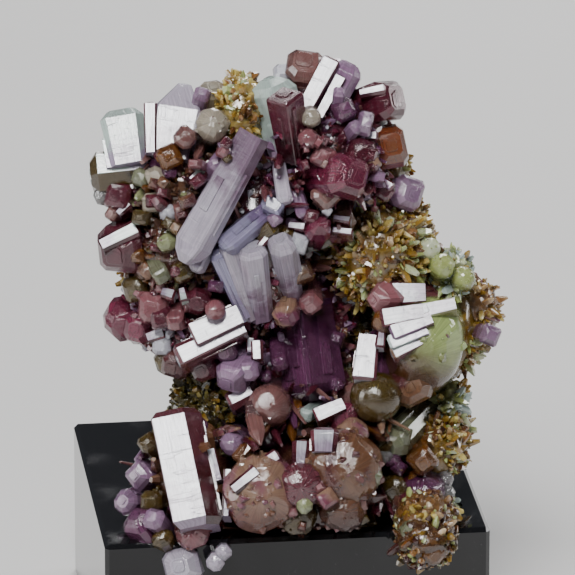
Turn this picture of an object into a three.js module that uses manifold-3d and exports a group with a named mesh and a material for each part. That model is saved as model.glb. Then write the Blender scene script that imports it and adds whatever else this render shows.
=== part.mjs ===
import * as THREE from 'three';
import { mergeVertices } from 'three/addons/utils/BufferGeometryUtils.js';
import { ConvexGeometry } from 'three/addons/geometries/ConvexGeometry.js';
import Module from 'manifold-3d';

// Vesuvianite crystals grown with diopside, standing on a polished black block. Millimetres, +Z up.
// The origin is the middle of the block's resting face. The front faces -Y.

const wasm = await Module();
wasm.setup();

// Display block
const blockWidth = 38;
const blockDepth = 33;
const blockHeight = 16;
const blockEdge = 0.4;

// Clearance kept between pieces that touch
const fitGap = 0.3;

// The crystals are set out in a sloping front view of the specimen, as [across, up, out] in millimetres:
// across to the right, up in the view's own plane, out level toward the viewer from the block's middle.
const viewTurn = THREE.MathUtils.degToRad(-7);
const viewRise = THREE.MathUtils.degToRad(20.5);
const viewDistance = 700;
const blockAcross = -0.95;
const blockUp = -18.7;
const blockTop = new THREE.Vector3(0, 0, blockHeight);

const viewRight = new THREE.Vector3(Math.cos(viewTurn), Math.sin(viewTurn), 0);
const viewOut = new THREE.Vector3(Math.sin(viewTurn), -Math.cos(viewTurn), 0);

const sight = viewOut.clone().multiplyScalar(Math.cos(viewRise));
sight.z = Math.sin(viewRise);

// The brightest crystal faces all look one way, up and toward the viewer
const brightTurn = THREE.MathUtils.degToRad(-12);
const brightRise = THREE.MathUtils.degToRad(36.5);
const brightWay = new THREE.Vector3(
  Math.sin(brightTurn) * Math.cos(brightRise),
  -Math.cos(brightTurn) * Math.cos(brightRise),
  Math.sin(brightRise)
);

// Default shape of a crystal, as shares of its width
const cornerShare = 0.34;
const slimWidth = 3;
const pointShare = 0.27;
const flatShare = 0.5;
const rootShare = 0.85;
const mostPoint = 0.6;
const usualRoll = 14;

// A lit crystal: shape of its end, and how its bright face leans back
const litFlat = 0.72;
const litPoint = 0.16;
const litLean = 0.62;

// A rounded crystal: corner, point and flat shares, and the ring between shoulder and end
const roundCorner = 0.4;
const roundPoint = 0.34;
const roundFlat = 0.34;
const ringLevel = 0.3;
const ringShare = 0.74;

// Lumps of rock
const lumpPoints = 22;
const lumpLeast = 0.88;
const lumpRange = 0.24;

// Two bulges that give the specimen's front: middle [across, up], half sizes and how far out
const upperBulge = { middle: [-2, 5], half: [20, 20], out: 12 };
const lowerBulge = { middle: [0, -21], half: [21, 16], out: 19 };

// Small scattered crystals: length, lean, turn and end
const stubLength = 3.4;
const stubLean = 0.88;
const stubSway = 1;
const stubDrop = [-1.4, 0.4];
const stubTurn = [10, 70];
const stubFlat = [0.3, 0.7];
const stubOut = 0.4;

// A point of the sloping front view in the part's own frame
function place([across, up, out]) {
  const lean = Math.tan(viewRise) / viewDistance;
  const reach = out / Math.cos(viewRise) / viewDistance;
  const nearness = (1 + blockUp * lean - reach) / (1 + up * lean);
  const level = up * nearness - blockUp;
  const height = (level + out * Math.sin(viewRise)) / Math.cos(viewRise);
  return blockTop.clone()
    .addScaledVector(viewRight, across * nearness - blockAcross)
    .addScaledVector(viewOut, out)
    .add(new THREE.Vector3(0, 0, height));
}

// A crystal from its root to its tip, both [across, up, out]
function grown(root, tip, wide, shape = {}) {
  return { root: place(root), tip: place(tip), wide, roll: usualRoll, ...shape };
}

// A crystal whose bright face runs from one point of the view to another, at a middle distance out
function lit(from, to, out, wide, deep, shape = {}) {
  const half = (to[1] - from[1]) * litLean / 2;
  const start = place([from[0], from[1], out + half]);
  const end = place([to[0], to[1], out - half]);
  const slip = end.clone().sub(start).dot(brightWay) / sight.dot(brightWay) / 2;
  start.addScaledVector(sight, slip);
  end.addScaledVector(sight, -slip);
  const back = brightWay.clone().multiplyScalar(-deep / 2);
  return {
    root: start.add(back), tip: end.add(back), wide, deep,
    roll: 0, flat: litFlat, point: wide * litPoint, ...shape
  };
}

// A short fat crystal with rings of small faces around its end
function dome(root, tip, wide, shape = {}) {
  const round = { rounded: true, corner: roundCorner, point: wide * roundPoint, flat: roundFlat };
  return grown(root, tip, wide, { ...round, ...shape });
}

// Rings of a crystal from root to tip, as [distance, scale]
function crystalRings(crystal, length) {
  const point = Math.min(crystal.point ?? crystal.wide * pointShare, length * mostPoint);
  const flat = crystal.flat ?? flatShare;
  const start = crystal.both ? [[0, flat], [point, 1]] : [[0, rootShare]];
  const end = crystal.rounded
    ? [[length - point, 1], [length - point * ringLevel, ringShare], [length, flat]]
    : [[length - point, 1], [length, flat]];
  return [...start, ...end];
}

// An eight-sided prism with a pyramid and a flat end. The first face looks the bright way.
function crystalSolid(crystal, grow) {
  const axis = crystal.tip.clone().sub(crystal.root);
  const length = axis.length();
  axis.normalize();
  const face = brightWay.clone().addScaledVector(axis, -brightWay.dot(axis)).normalize();
  face.applyAxisAngle(axis, THREE.MathUtils.degToRad(crystal.roll));
  const side = axis.clone().cross(face);
  const halfWide = crystal.wide / 2;
  const halfDeep = (crystal.deep ?? crystal.wide) / 2;
  const usual = crystal.wide < slimWidth ? 0 : cornerShare;
  const corners = Array.isArray(crystal.corner)
    ? crystal.corner
    : [crystal.corner ?? usual, crystal.corner ?? usual];
  const [left, right] = corners.map((share) => share * Math.min(halfWide, halfDeep));
  const shift = (right - left) / 2;
  const outline = [
    [-halfWide + left, halfDeep], [halfWide - right, halfDeep],
    [halfWide, halfDeep - right], [halfWide, -halfDeep + left],
    [halfWide - left, -halfDeep], [-halfWide + right, -halfDeep],
    [-halfWide, -halfDeep + right], [-halfWide, halfDeep - left]
  ];
  const points = [];
  for (const [distance, scale] of crystalRings(crystal, length)) {
    const along = distance === 0 ? -grow : distance + grow;
    for (const [acrossFace, throughFace] of outline) {
      const spread = 1 + grow / Math.min(halfWide, halfDeep);
      points.push(crystal.root.clone()
        .addScaledVector(axis, along)
        .addScaledVector(side, acrossFace * scale * spread + shift)
        .addScaledVector(face, throughFace * scale * spread));
    }
  }
  return solidOf(new ConvexGeometry(points));
}

// A simple repeatable random number from 0 to 1
function chances(seed) {
  let state = seed * 7919 + 17;
  return () => {
    state = (state * 16807) % 2147483647;
    return state / 2147483647;
  };
}

// A lump of rock: [across, up, out] of its middle and its half sizes across, through and up
function lump(middle, half, seed) {
  return { middle: place(middle), half, seed };
}

function lumpSolid(rock, grow) {
  const chance = chances(rock.seed);
  const points = [];
  const goldenTurn = Math.PI * (3 - Math.sqrt(5));
  for (let index = 0; index < lumpPoints; index += 1) {
    const level = 1 - (2 * index + 1) / lumpPoints;
    const round = Math.sqrt(1 - level * level);
    const rough = lumpLeast + lumpRange * chance();
    const reach = rock.half.map((value) => value * rough + grow);
    points.push(rock.middle.clone()
      .addScaledVector(viewRight, reach[0] * round * Math.cos(index * goldenTurn))
      .addScaledVector(viewOut, reach[1] * round * Math.sin(index * goldenTurn))
      .add(new THREE.Vector3(0, 0, reach[2] * level)));
  }
  return solidOf(new ConvexGeometry(points));
}

// How far out the specimen's front lies at a place in the view
function frontOut(across, up) {
  return Math.max(...[upperBulge, lowerBulge].map(({ middle, half, out }) => {
    const level = 1 - ((across - middle[0]) / half[0]) ** 2 - ((up - middle[1]) / half[1]) ** 2;
    return out * Math.sqrt(Math.max(level, 0));
  }));
}

// Small crystals scattered over a box of the view, each leaning outward
function stubs({ across, up, count, size, seed, lift = stubOut }) {
  const chance = chances(seed);
  const between = ([low, high]) => low + (high - low) * chance();
  return Array.from({ length: count }, () => {
    const wide = between(size);
    const tipAcross = between(across);
    const tipUp = between(up);
    const out = frontOut(tipAcross, tipUp) + lift + wide * stubOut;
    const rootAcross = tipAcross * stubLean + between([-stubSway, stubSway]);
    const root = [rootAcross, tipUp + between(stubDrop), out - stubLength - wide];
    const roll = between(stubTurn);
    return grown(root, [tipAcross, tipUp, out], wide, { roll, corner: 0, flat: between(stubFlat) });
  });
}

function solidOf(geometry) {
  const plain = geometry.clone();
  for (const name of Object.keys(plain.attributes)) {
    if (name !== 'position') plain.deleteAttribute(name);
  }
  const merged = mergeVertices(plain, 1e-4);
  const vertProperties = new Float32Array(merged.attributes.position.array);
  const triVerts = new Uint32Array(merged.index.array);
  return new wasm.Manifold(new wasm.Mesh({ numProp: 3, vertProperties, triVerts }));
}

function joined(solids) {
  return solids.reduce((whole, solid) => whole.add(solid));
}

function solidsOf(part, grow) {
  return [
    ...part.lumps.map((rock) => lumpSolid(rock, grow)),
    ...part.crystals.map((crystal) => crystalSolid(crystal, grow))
  ];
}

// The biggest body of a solid that a cut may have parted
function biggest(solid) {
  return solid.decompose().sort((one, other) => other.volume() - one.volume())[0];
}

function meshOf(name, solid, color, roughness, metalness = 0) {
  const data = solid.getMesh();
  const geometry = new THREE.BufferGeometry();
  geometry.setAttribute('position', new THREE.BufferAttribute(new Float32Array(data.vertProperties), 3));
  geometry.setIndex(new THREE.BufferAttribute(new Uint32Array(data.triVerts), 1));
  const mesh = new THREE.Mesh(geometry, new THREE.MeshStandardMaterial({ color, roughness, metalness }));
  mesh.name = name;
  return mesh;
}

// Display block, with its four upright edges and its top edge lightly polished off
function blockSolid(grow) {
  const halfWidth = blockWidth / 2 + grow;
  const halfDepth = blockDepth / 2 + grow;
  const top = blockHeight + grow;
  const points = [];
  for (const [level, inset] of [[0, 0], [top - blockEdge, 0], [top, blockEdge]]) {
    for (const [across, through] of [[1, 1], [-1, 1], [-1, -1], [1, -1]]) {
      const cut = Math.max(blockEdge - inset, 0);
      const x = across * (halfWidth - inset);
      const y = through * (halfDepth - inset);
      points.push(new THREE.Vector3(x - across * cut, y, level));
      points.push(new THREE.Vector3(x, y - through * cut, level));
    }
  }
  return solidOf(new ConvexGeometry(points));
}

// Long pale laths across the middle, and the stepped prisms below them
const laths = {
  lumps: [lump([-3.4, 4.5, 4.6], [5.6, 6, 9], 3)],
  crystals: [
    grown([-3.3, 15.3, 9.4], [-10.4, 2.5, 12.8], 3.2, { deep: 2.6, corner: 0.2, point: 1.7, flat: 0.3 }),
    grown([-1.6, 7.9, 9.2], [-6.5, 3.9, 11.8], 2.4, { deep: 1.8, flat: 0.6 }),
    grown([-3.4, -2.9, 9.4], [-5.9, 4.4, 11.4], 2, { deep: 1.6, flat: 0.6 }),
    grown([-4.0, -2.9, 9.4], [-7.1, 4.0, 10.6], 2.2, { deep: 2, flat: 0.4, roll: 4 }),
    grown([-2.7, -2.8, 8.6], [-3.6, 4.1, 11.6], 2.8, { roll: 12, flat: 0.7, point: 0.5 }),
    grown([0.4, -0.9, 7.6], [-0.7, 4.9, 12], 2.6, { roll: 10, flat: 0.55, point: 1 }),
    grown([0.3, 4.2, 7], [1.2, 4.5, 11.4], 1.9, { roll: 25 }),
    grown([-1.5, 6.6, 7.5], [-1.5, 8.4, 11.2], 2.2, { deep: 1.6, flat: 0.7, point: 0.3 }),
    grown([2.6, 4.8, 6], [3.2, 6.3, 12.2], 2.5, { point: 1.6, flat: 0.15, roll: 30 }),
    grown([1, 0.6, 6], [1.5, 1.8, 9.8], 2.2, { roll: 30 })
  ]
};

// Blocky crystals of the upper right
const upperRight = {
  lumps: [lump([4.4, 14, 3], [6, 6.6, 5.4], 5), lump([2.2, 18.4, 2], [3.4, 3.6, 3], 6)],
  crystals: [
    grown([0.4, 13.2, 6.6], [-1.9, 20.9, 5.6], 3.7, { roll: 40, corner: 0.16, point: 1.2, flat: 0.35 }),
    grown([0.7, 13, 8], [-0.3, 19.3, 9.4], 2.7, { roll: 48, flat: 0.85, point: 0.3, corner: 0.1 }),
    grown([-0.2, 18.4, 1.4], [-0.4, 21.9, 4], 2.1, { roll: 10, flat: 0.6 }),
    grown([1.4, 18.4, 0.6], [1.8, 22.6, 4.6], 3.7, { corner: 0.4, flat: 0.66, point: 0.8 }),
    lit([1.5, 17.7], [4.5, 23.1], 6.4, 1.8, 3, { corner: 0.12 }),
    grown([3.2, 16.6, 5], [6.1, 22.5, 3.2], 3.6, { deep: 3.4, roll: 8, flat: 0.6, point: 0.8 }),
    grown([6.4, 17.6, 2], [11, 19, 4.8], 3.9, { corner: 0.3, flat: 0.6, point: 1 }),
    grown([8.6, 13.4, 2], [10.4, 14.3, 6.6], 4.3, { corner: 0.42, point: 1.5, roll: 32 }),
    grown([2.4, 11, 6], [6.8, 11.1, 12.6], 4.1, { corner: 0.34, flat: 0.55, point: 1.3, roll: 12 }),
    lit([3.1, 10.9], [5.6, 11.9], 11, 1.7, 2.4),
    grown([7.4, 15.4, 4.6], [7.8, 16.6, 8.8], 2.5, { deep: 1.5 }),
    dome([2, 14.2, 6], [2.1, 15, 11], 2.1),
    grown([8.8, 10.2, 2.6], [9.8, 9.6, 8], 1.9, { roll: 24 }),
    grown([9.8, 9.6, 0.4], [12.5, 9.4, 5.4], 3.3, { corner: 0.34, flat: 0.5, roll: 16 }),
    grown([4.6, 16.4, 3], [5.8, 18, 8], 2.3, { roll: 34 }),
    grown([6.8, 13, 4], [7.4, 13.7, 9.6], 2.7, { roll: 28 }),
    grown([3.4, 12.6, 5], [3.6, 13.2, 10.8], 2.2, { roll: 38 }),
    grown([3.4, 9.4, 5], [3.9, 9.2, 11], 2.6, { roll: 20 }),
    grown([5.4, 8.6, 4], [5.6, 6.2, 8.8], 2.4)
  ]
};

// Blocky crystals of the upper left
const upperLeft = {
  lumps: [lump([-10.8, 10.4, 2.4], [5.2, 6.8, 5.8], 7), lump([-11.6, 4.2, 4], [4.8, 6.2, 5.2], 8)],
  crystals: [
    lit([-15.9, 12.6], [-16.8, 18.1], 6.2, 4.3, 4.4, { point: 0.9, flat: 0.66 }),
    lit([-11.9, 13.2], [-10.4, 20.8], 6, 4.4, 4, { corner: 0.1, point: 2.8, flat: 0.3 }),
    dome([-8.4, 15, 2], [-7.3, 16.6, 9.6], 3.5),
    grown([-7.8, 15.6, 1], [-7.4, 20.2, 4], 2.4, { roll: 30 }),
    lit([-13.6, 13], [-19.9, 12.3], 6.6, 3.8, 5, { corner: [0.75, 0.2], flat: 0.6, point: 0.8 }),
    grown([-10.4, 14.4, 5], [-10.2, 15.1, 9.8], 2.1, { roll: 18 }),
    grown([-11.2, 12.4, 4], [-11.9, 13.2, 9.8], 2.3, { roll: 30 }),
    grown([-12.6, 10.6, 4], [-13.3, 11.2, 9.4], 1.9, { roll: 22 }),
    grown([-9.2, 9.2, 6.4], [-6.4, 12.7, 9.8], 2.3, { roll: 26 }),
    grown([-12.8, 7.8, 4.6], [-13.7, 8.6, 9.8], 1.9, { roll: 6 }),
    dome([-11.7, 3.8, 6], [-12.1, 4.7, 11.4], 2.2, { deep: 1.8, roll: 20 }),
    grown([-15, 9, 2.4], [-17.3, 9.2, 7.8], 2.6, { roll: 34 }),
    grown([-9.6, 6.6, 4], [-10.4, 7.6, 10.6], 2.4, { roll: 28 }),
    grown([-10.2, 1.4, 5.6], [-10.6, 1.6, 11.2], 2, { roll: 20 }),
    ...stubs({ across: [-15.6, -8.4], up: [1, 11], count: 5, size: [1.8, 2.6], seed: 21 })
  ]
};

// Prisms that lean backward out of the same bunches
const backs = {
  lumps: [],
  crystals: [
    grown([3, 16, -0.5], [4, 19.2, -7.5], 3.6, { roll: 30 }),
    grown([6.4, 13, -1], [8.6, 14.3, -7.4], 3.2, { roll: 10 }),
    grown([1, 17.5, 0.5], [-1.6, 18.2, -6.2], 3, { roll: 50 }),
    grown([5, 10.5, -1.4], [6.6, 10.2, -8.6], 2.6, { roll: 20 }),
    grown([-11.4, 12.4, -1], [-14.4, 14.8, -7.4], 3.6, { roll: 24 }),
    grown([-10.4, 13.4, 0], [-11.4, 16.8, -5.8], 2.8, { roll: 44 }),
    grown([-13, 9, -0.6], [-16.6, 9.2, -6.4], 3.2, { roll: 14 }),
    grown([-9, 10, -2], [-9.6, 12, -9], 2.6, { roll: 34 }),
    grown([-13.6, -1, 1], [-13.8, 0.2, -5.4], 3, { roll: 30 }),
    grown([-14, -3.4, 1.5], [-15, -4.4, -4.4], 2.8, { roll: 16 })
  ]
};

// Crystals that point out to the left at mid height, with one long bright prism below them
const leftSide = {
  lumps: [lump([-12.8, -1.4, 3.6], [3.2, 5.6, 4.6], 9), lump([-8.8, -3.6, 5.6], [4.2, 5.2, 4], 10)],
  crystals: [
    grown([-13.8, 6, 2.6], [-17.5, 3.2, 9.4], 4.8, { corner: 0.36, point: 1.4, roll: 30 }),
    grown([-14, 1, 4], [-15.4, -0.4, 9.2], 2.6, { roll: 30 }),
    grown([-14.4, -3, 3], [-17.7, -3.2, 6.8], 3.9, { point: 1.4, flat: 0.35, roll: 24 }),
    grown([-13.4, -3, 4], [-15.2, -4.3, 9], 3.1, { roll: 12 }),
    grown([-12.2, -1.4, 5], [-13.6, -2.2, 10.8], 3.1, { corner: 0.34 }),
    grown([-11.8, -2.4, 5.6], [-12.8, -3.2, 11.4], 2.1, { roll: 20 }),
    grown([-8.6, -0.4, 6], [-9.1, -1.6, 11.4], 2.6, { roll: 30 }),
    dome([-7, -1.6, 7], [-7.3, -2.4, 13], 2.1),
    lit([-4.4, -3.7], [-11.1, -6.9], 12.6, 2.3, 4, { corner: [0.16, 0.4], flat: 0.8 }),
    lit([-4.8, -2.5], [-9.6, -4.7], 12.2, 2.5, 3.6, { corner: 0.1, flat: 0.85, point: 0.2 }),
    grown([-9.4, -6.4, 6.4], [-11.7, -8, 11], 2.8, { roll: 18 }),
    grown([-10.8, -6, 5.6], [-12.4, -7.7, 9.8], 2.5, { roll: 34 }),
    grown([-11.2, -5, 5.4], [-12.8, -5.9, 10.4], 1.9, { roll: 26 }),
    grown([-7.4, -6.2, 6], [-8.6, -8.4, 11.4], 2.8, { roll: 36 }),
    grown([-5.2, -4.6, 7], [-6.4, -6.6, 11.8], 2.2, { roll: 26 })
  ]
};

// The big pale green and white crystal of the right side, and its neighbours
const rightSide = {
  lumps: [lump([12.4, -6, 3], [4.4, 4.4, 4.8], 13)],
  crystals: [
    dome([14.6, -4.2, -1], [13.1, -6.7, 12], 7.9, { deep: 10, point: 2.8, flat: 0.5, roll: -8 }),
    grown([15.4, -0.8, 2], [8.6, -1.2, 9.6], 3.2, { corner: 0.3, point: 1.4, flat: 0.4 }),
    lit([13.8, -0.4], [10.2, -0.6], 8.9, 2.3, 3, { corner: 0.12 }),
    lit([13.6, -2.2], [9.3, -3], 11, 1.9, 3.4, { corner: 0.14, flat: 0.85 }),
    lit([16.8, -1.5], [12.4, -2.5], 10, 1.7, 3, { corner: 0.2 }),
    lit([14.4, -2.9], [10.3, -4.5], 11.6, 1.35, 2.6, { corner: 0.1 }),
    lit([13.9, -4], [10.1, -5.5], 11.8, 1.3, 2.6, { corner: 0.1 }),
    lit([13.3, -5.1], [10.4, -6.5], 12, 1.25, 2.6, { corner: 0.1 }),
    grown([12.4, -2.6, 6], [9, -3.6, 10.6], 2, { roll: 26 }),
    lit([8, -4.6], [7.5, -9.2], 11.6, 2.4, 3.4, { corner: [0.3, 0.1], flat: 0.85, point: 0.3 }),
    grown([9.2, -4.8, 6], [8.9, -9.8, 11], 2.2, { roll: 30 }),
    dome([9.2, -10, 4], [8.7, -11.3, 14], 5.1),
    grown([12.6, -8.8, 4], [12.3, -9.8, 11.6], 4.2, { roll: 24 }),
    grown([6.6, -10.6, 4], [6.3, -11, 10], 2.4, { roll: 24 })
  ]
};

// The tall dark column in the middle, and the pale prisms at its left
const middle = {
  lumps: [lump([-1.6, -9, 4.4], [5, 5.2, 5], 15), lump([3, -4, 3], [3.6, 3.6, 6], 16)],
  crystals: [
    grown([1.3, -1.4, 5.4], [2.5, -11.4, 9.4], 5.2, { corner: 0.12, roll: 45, point: 1.4, flat: 0.3 }),
    dome([-1.4, -11, 4], [-1.9, -12.1, 14.4], 4.4),
    grown([-2.2, -13, 5], [-2.4, -15, 12], 3.1, { roll: 20 }),
    grown([-3.4, -6, 7.4], [-6.1, -9.7, 12.6], 3.1, { point: 0.9, flat: 0.5 }),
    grown([-3, -6.4, 7], [-4, -8.7, 12.8], 2, { roll: 14 }),
    lit([-3.6, -10.2], [-6, -11.4], 12.2, 2, 3, { flat: 0.85 }),
    grown([0.3, -0.4, 6.4], [-0.3, -3.4, 10.8], 2.5, { roll: 20 }),
    grown([2.2, 0.4, 5], [2.3, -2, 9.8], 2.2, { roll: 32 }),
    lit([5.6, -11.5], [2.7, -12.8], 13.4, 1.5, 3.2, { corner: 0.1, flat: 0.9, point: 0.2 }),
    grown([7.2, -12, 6.6], [5.4, -13.1, 13], 2.8, { roll: 26 }),
    grown([4.8, -8.4, 3], [5.2, -10.6, 8], 2.6, { roll: 30 })
  ]
};

// The tall bright prism of the lower left, and the crystals that fan out at its foot
const lowerLeft = {
  lumps: [lump([-9.6, -19.6, 9.6], [4.4, 5.6, 6], 17)],
  crystals: [
    lit([-9.5, -23.8], [-11.95, -12.1], 17.2, 4.9, 5, {
      corner: [0.05, 0.52], flat: 0.78, point: 0.7, both: true
    }),
    grown([-8.4, -22, 11], [-9.2, -13.6, 11.4], 3.6, { roll: 34, flat: 0.6 }),
    grown([-12.6, -17, 8], [-14.1, -15.4, 12.8], 1.9, { roll: 34, flat: 0.3 }),
    grown([-11.8, -18.8, 8], [-15.3, -18.8, 13], 2.6, { roll: 12, flat: 0.4 }),
    grown([-12.2, -21, 10], [-13.8, -21.5, 16.6], 2.2, { roll: 20 }),
    grown([-13.6, -22, 10], [-16.5, -21.4, 15.2], 2.4, { roll: 30 }),
    grown([-11.6, -27.6, 14.4], [-15.3, -22.8, 17.2], 3, { roll: 24, flat: 0.4 }),
    grown([-11, -25.8, 13], [-13.6, -22.9, 18.4], 2.1, { roll: 10 }),
    grown([-11, -27.4, 14], [-12.7, -24.8, 18.6], 2, { roll: 18 }),
    dome([-9.3, -23.6, 11], [-9.6, -24.7, 19.6], 3.6),
    grown([-9.2, -27.4, 12.6], [-10.8, -28, 19.6], 3.6, { corner: 0.5, roll: 34 }),
    grown([-7.4, -26.2, 11], [-7.2, -27.6, 19.4], 1.7, { roll: 40 }),
    dome([-5, -14.6, 9], [-5.6, -15.8, 15.6], 2.6)
  ]
};

// Two big rounded crystals side by side at the bottom, with small bright ones on them
const lowerDomes = {
  lumps: [lump([1.2, -19.6, 9], [7.2, 7.6, 5.2], 19)],
  crystals: [
    dome([-2.4, -19.6, 8], [-2.7, -20.8, 20.4], 8.1, { roll: 10, point: 2.1 }),
    lit([-5.5, -20.1], [-2.9, -18.1], 19.6, 1.5, 2.6, { flat: 0.6 }),
    lit([-3.3, -18.1], [-0.8, -16.6], 17.6, 1.6, 2.8, { flat: 0.7 }),
    dome([5.6, -17, 6], [5.3, -18.8, 19.4], 8.8, { deep: 8.4, roll: 24, point: 2.3 }),
    lit([3.6, -16.3], [3.7, -13.8], 17.8, 2.8, 4.6, { corner: 0.36, flat: 0.7 }),
    dome([6.4, -14, 8], [6.5, -14.9, 16], 3.4),
    lit([1.3, -17.5], [1.5, -15], 17, 2.1, 3, { flat: 0.5 }),
    dome([1.4, -18.6, 12], [1.3, -20.2, 20.2], 4.8, { roll: 20, point: 1.3 }),
    dome([5.6, -21, 10], [5.5, -22.5, 19.8], 4.8),
    dome([0.9, -21.6, 10], [0.9, -23.1, 19.2], 4.2, { roll: 30 }),
    dome([8.2, -18, 11], [8.5, -19, 18], 2.1, { deep: 2.5 }),
    grown([-4.8, -16.6, 11], [-4.3, -16.8, 16.6], 1.9, { roll: 24 })
  ]
};

// Grey-green and purple prisms of the lower right
const lowerRight = {
  lumps: [
    lump([12.6, -17.6, 6.4], [3.2, 4, 5], 23), lump([13.8, -23, 15], [2.8, 4.4, 2.6], 41),
    lump([13.9, -25.4, 18.4], [2.9, 2.4, 2.5], 42)
  ],
  crystals: [
    grown([13.9, -12, 5.4], [10, -16, 12.8], 3.4, { deep: 2.8, point: 1, flat: 0.5 }),
    grown([13.2, -15.6, 7], [13.6, -17.6, 13.6], 2.6, { roll: 26 }),
    dome([14.6, -18.2, 6], [13, -21.9, 14.6], 4.8, { roll: 20 }),
    grown([11.2, -19, 8], [10.6, -20.7, 14], 2.8, { roll: 34 }),
    grown([13.8, -23, 8], [13.2, -24.2, 15.4], 2.2, { roll: 8 }),
    dome([13.4, -23.4, 14], [12.4, -24.8, 19.6], 2.8, { roll: 20 }),
    dome([14.4, -23, 12], [15.4, -24, 17.4], 2.4),
    grown([14, -25.4, 17], [14.8, -26.9, 20.8], 2.2, { roll: 30 })
  ]
};

// Granular diopside that carries all the crystals
const matrixRock = {
  lumps: [
    lump([-1.5, 4.6, -4.2], [14.6, 6.6, 15], 31), lump([8.8, 4.4, 1.8], [5, 6.6, 6], 32),
    lump([-4.7, 17.6, 4], [2.5, 4.2, 3.2], 33), lump([11.4, 3.2, 2], [3, 4.6, 3.6], 34),
    lump([16, 1.2, 1], [2.1, 3.6, 2], 35), lump([16.2, -4, -0.6], [3.2, 5.4, 4.6], 36),
    lump([16.2, -11.6, 4.6], [1.5, 2.6, 2.2], 37), lump([14.6, -15.2, 5], [3.2, 6, 3.6], 38),
    lump([0.6, -17, 1.4], [13.6, 9.4, 8.4], 39), lump([-8.2, -11.8, 6], [3, 4.6, 3.6], 40),
    lump([3.4, -7.4, -2.8], [11.6, 8, 10], 43), lump([10.6, 11.2, 1], [1.4, 3, 2.4], 44),
    lump([18.4, -2.6, -1], [2.4, 3, 3.4], 45), lump([15.6, -23, 9], [1.8, 3, 2.4], 46),
    lump([-7, 10.4, -8.6], [4.6, 3.4, 5.4], 47), lump([6.4, 1.4, -8.8], [5.4, 3.6, 6], 48),
    lump([-4.4, -7, -8.8], [6.4, 3.6, 5], 49)
  ],
  crystals: [
    dome([14.8, 1.4, 2], [15.6, 2.4, 6.4], 2.7),
    dome([16.8, 0.4, 2], [17.9, 1.1, 5.6], 2.5, { roll: 30 }),
    dome([13.8, 2.6, 2], [14.2, 4.3, 5.6], 2.4, { roll: 20 })
  ]
};

// Crystals that overlap are one solid. Each later piece is cut clear of the earlier ones.
const polish = { block: 0.08, crystal: 0.3 };
const pieces = [
  { name: 'lower_left_crystals', color: 0x9c7f9a, parts: [lowerLeft] },
  { name: 'right_crystals', color: 0xbccb92, parts: [rightSide] },
  {
    name: 'upper_crystals', color: 0xa07a9a,
    parts: [laths, upperRight, upperLeft, backs, leftSide, middle]
  },
  { name: 'lower_dome_crystals', color: 0x9a7660, parts: [lowerDomes] },
  { name: 'lower_right_crystals', color: 0x84855f, parts: [lowerRight] },
  { name: 'diopside_matrix', color: 0x8b7a3a, parts: [matrixRock] }
];

const specimen = new THREE.Group();
specimen.add(meshOf('display_block', blockSolid(0), 0x08080a, polish.block));

let taken = blockSolid(fitGap);
for (const piece of pieces) {
  const whole = joined(piece.parts.flatMap((part) => solidsOf(part, 0)));
  specimen.add(meshOf(piece.name, biggest(whole.subtract(taken)), piece.color, polish.crystal));
  taken = taken.add(joined(piece.parts.flatMap((part) => solidsOf(part, fitGap))));
}

export default specimen;
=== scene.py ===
import math
import random
import bmesh
import bpy
from mathutils import Matrix, Vector, noise


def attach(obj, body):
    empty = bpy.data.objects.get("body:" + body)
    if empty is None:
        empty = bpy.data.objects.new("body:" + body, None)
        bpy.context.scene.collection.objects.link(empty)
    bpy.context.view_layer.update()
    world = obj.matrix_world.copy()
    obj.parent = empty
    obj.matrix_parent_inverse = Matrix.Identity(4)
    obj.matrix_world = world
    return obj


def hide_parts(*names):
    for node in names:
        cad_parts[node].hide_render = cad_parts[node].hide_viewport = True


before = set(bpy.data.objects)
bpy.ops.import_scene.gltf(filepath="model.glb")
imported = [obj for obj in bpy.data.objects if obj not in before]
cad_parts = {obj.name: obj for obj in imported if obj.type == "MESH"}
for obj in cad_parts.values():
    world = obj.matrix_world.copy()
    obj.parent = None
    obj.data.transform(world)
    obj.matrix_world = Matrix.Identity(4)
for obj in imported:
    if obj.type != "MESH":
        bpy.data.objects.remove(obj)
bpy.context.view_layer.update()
print("frame loaded")

camera = {
    "target": (0.00174, 0.00638, 0.03352),
    "away": (-0.1141, -0.9297, 0.3502),
    "distance": 0.7,
    "lens": 438,
}
target = Vector(camera["target"])
away = Vector(camera["away"]).normalized()
cameraData = bpy.data.cameras.new("viewCamera")
cameraData.lens = camera["lens"]
cameraData.sensor_width = 36
cameraData.clip_start = 0.01
cameraData.dof.use_dof = False
cameraObject = bpy.data.objects.new("viewCamera", cameraData)
bpy.context.collection.objects.link(cameraObject)
cameraObject.location = target + away * camera["distance"]
cameraObject.rotation_euler = (-away).to_track_quat("-Z", "Y").to_euler()
bpy.context.scene.camera = cameraObject

studio = {
    "softboxes": {  # the way to it, its distance and size in metres, and its power
        "key": ((-0.206, -0.578, 0.790), 0.55, 0.19, 3.0),
        "left": ((-0.9, -0.25, 0.3), 0.5, 0.2, 0.75),
        "right": ((0.93, 0.2, 0.35), 0.5, 0.16, 0.6),
        "back": ((0.25, 0.8, 0.65), 0.5, 0.25, 1.8),
    },
    "world": (0.075, 0.08, 0.09),
    "floorColour": (0.7, 0.69, 0.68),
}
for side, (way, distance, size, power) in studio["softboxes"].items():
    lampData = bpy.data.lights.new(side + "Softbox", "AREA")
    lampData.shape = "SQUARE"
    lampData.size = size
    lampData.energy = power
    lamp = bpy.data.objects.new(side + "Softbox", lampData)
    bpy.context.collection.objects.link(lamp)
    toward = Vector(way).normalized()
    lamp.location = target + toward * distance
    lamp.rotation_euler = (-toward).to_track_quat("-Z", "Y").to_euler()
world = bpy.data.worlds.new("studioWorld")
world.use_nodes = True
world.node_tree.nodes["Background"].inputs["Color"].default_value = (*studio["world"], 1)
bpy.context.scene.world = world


# Nodes

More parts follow.
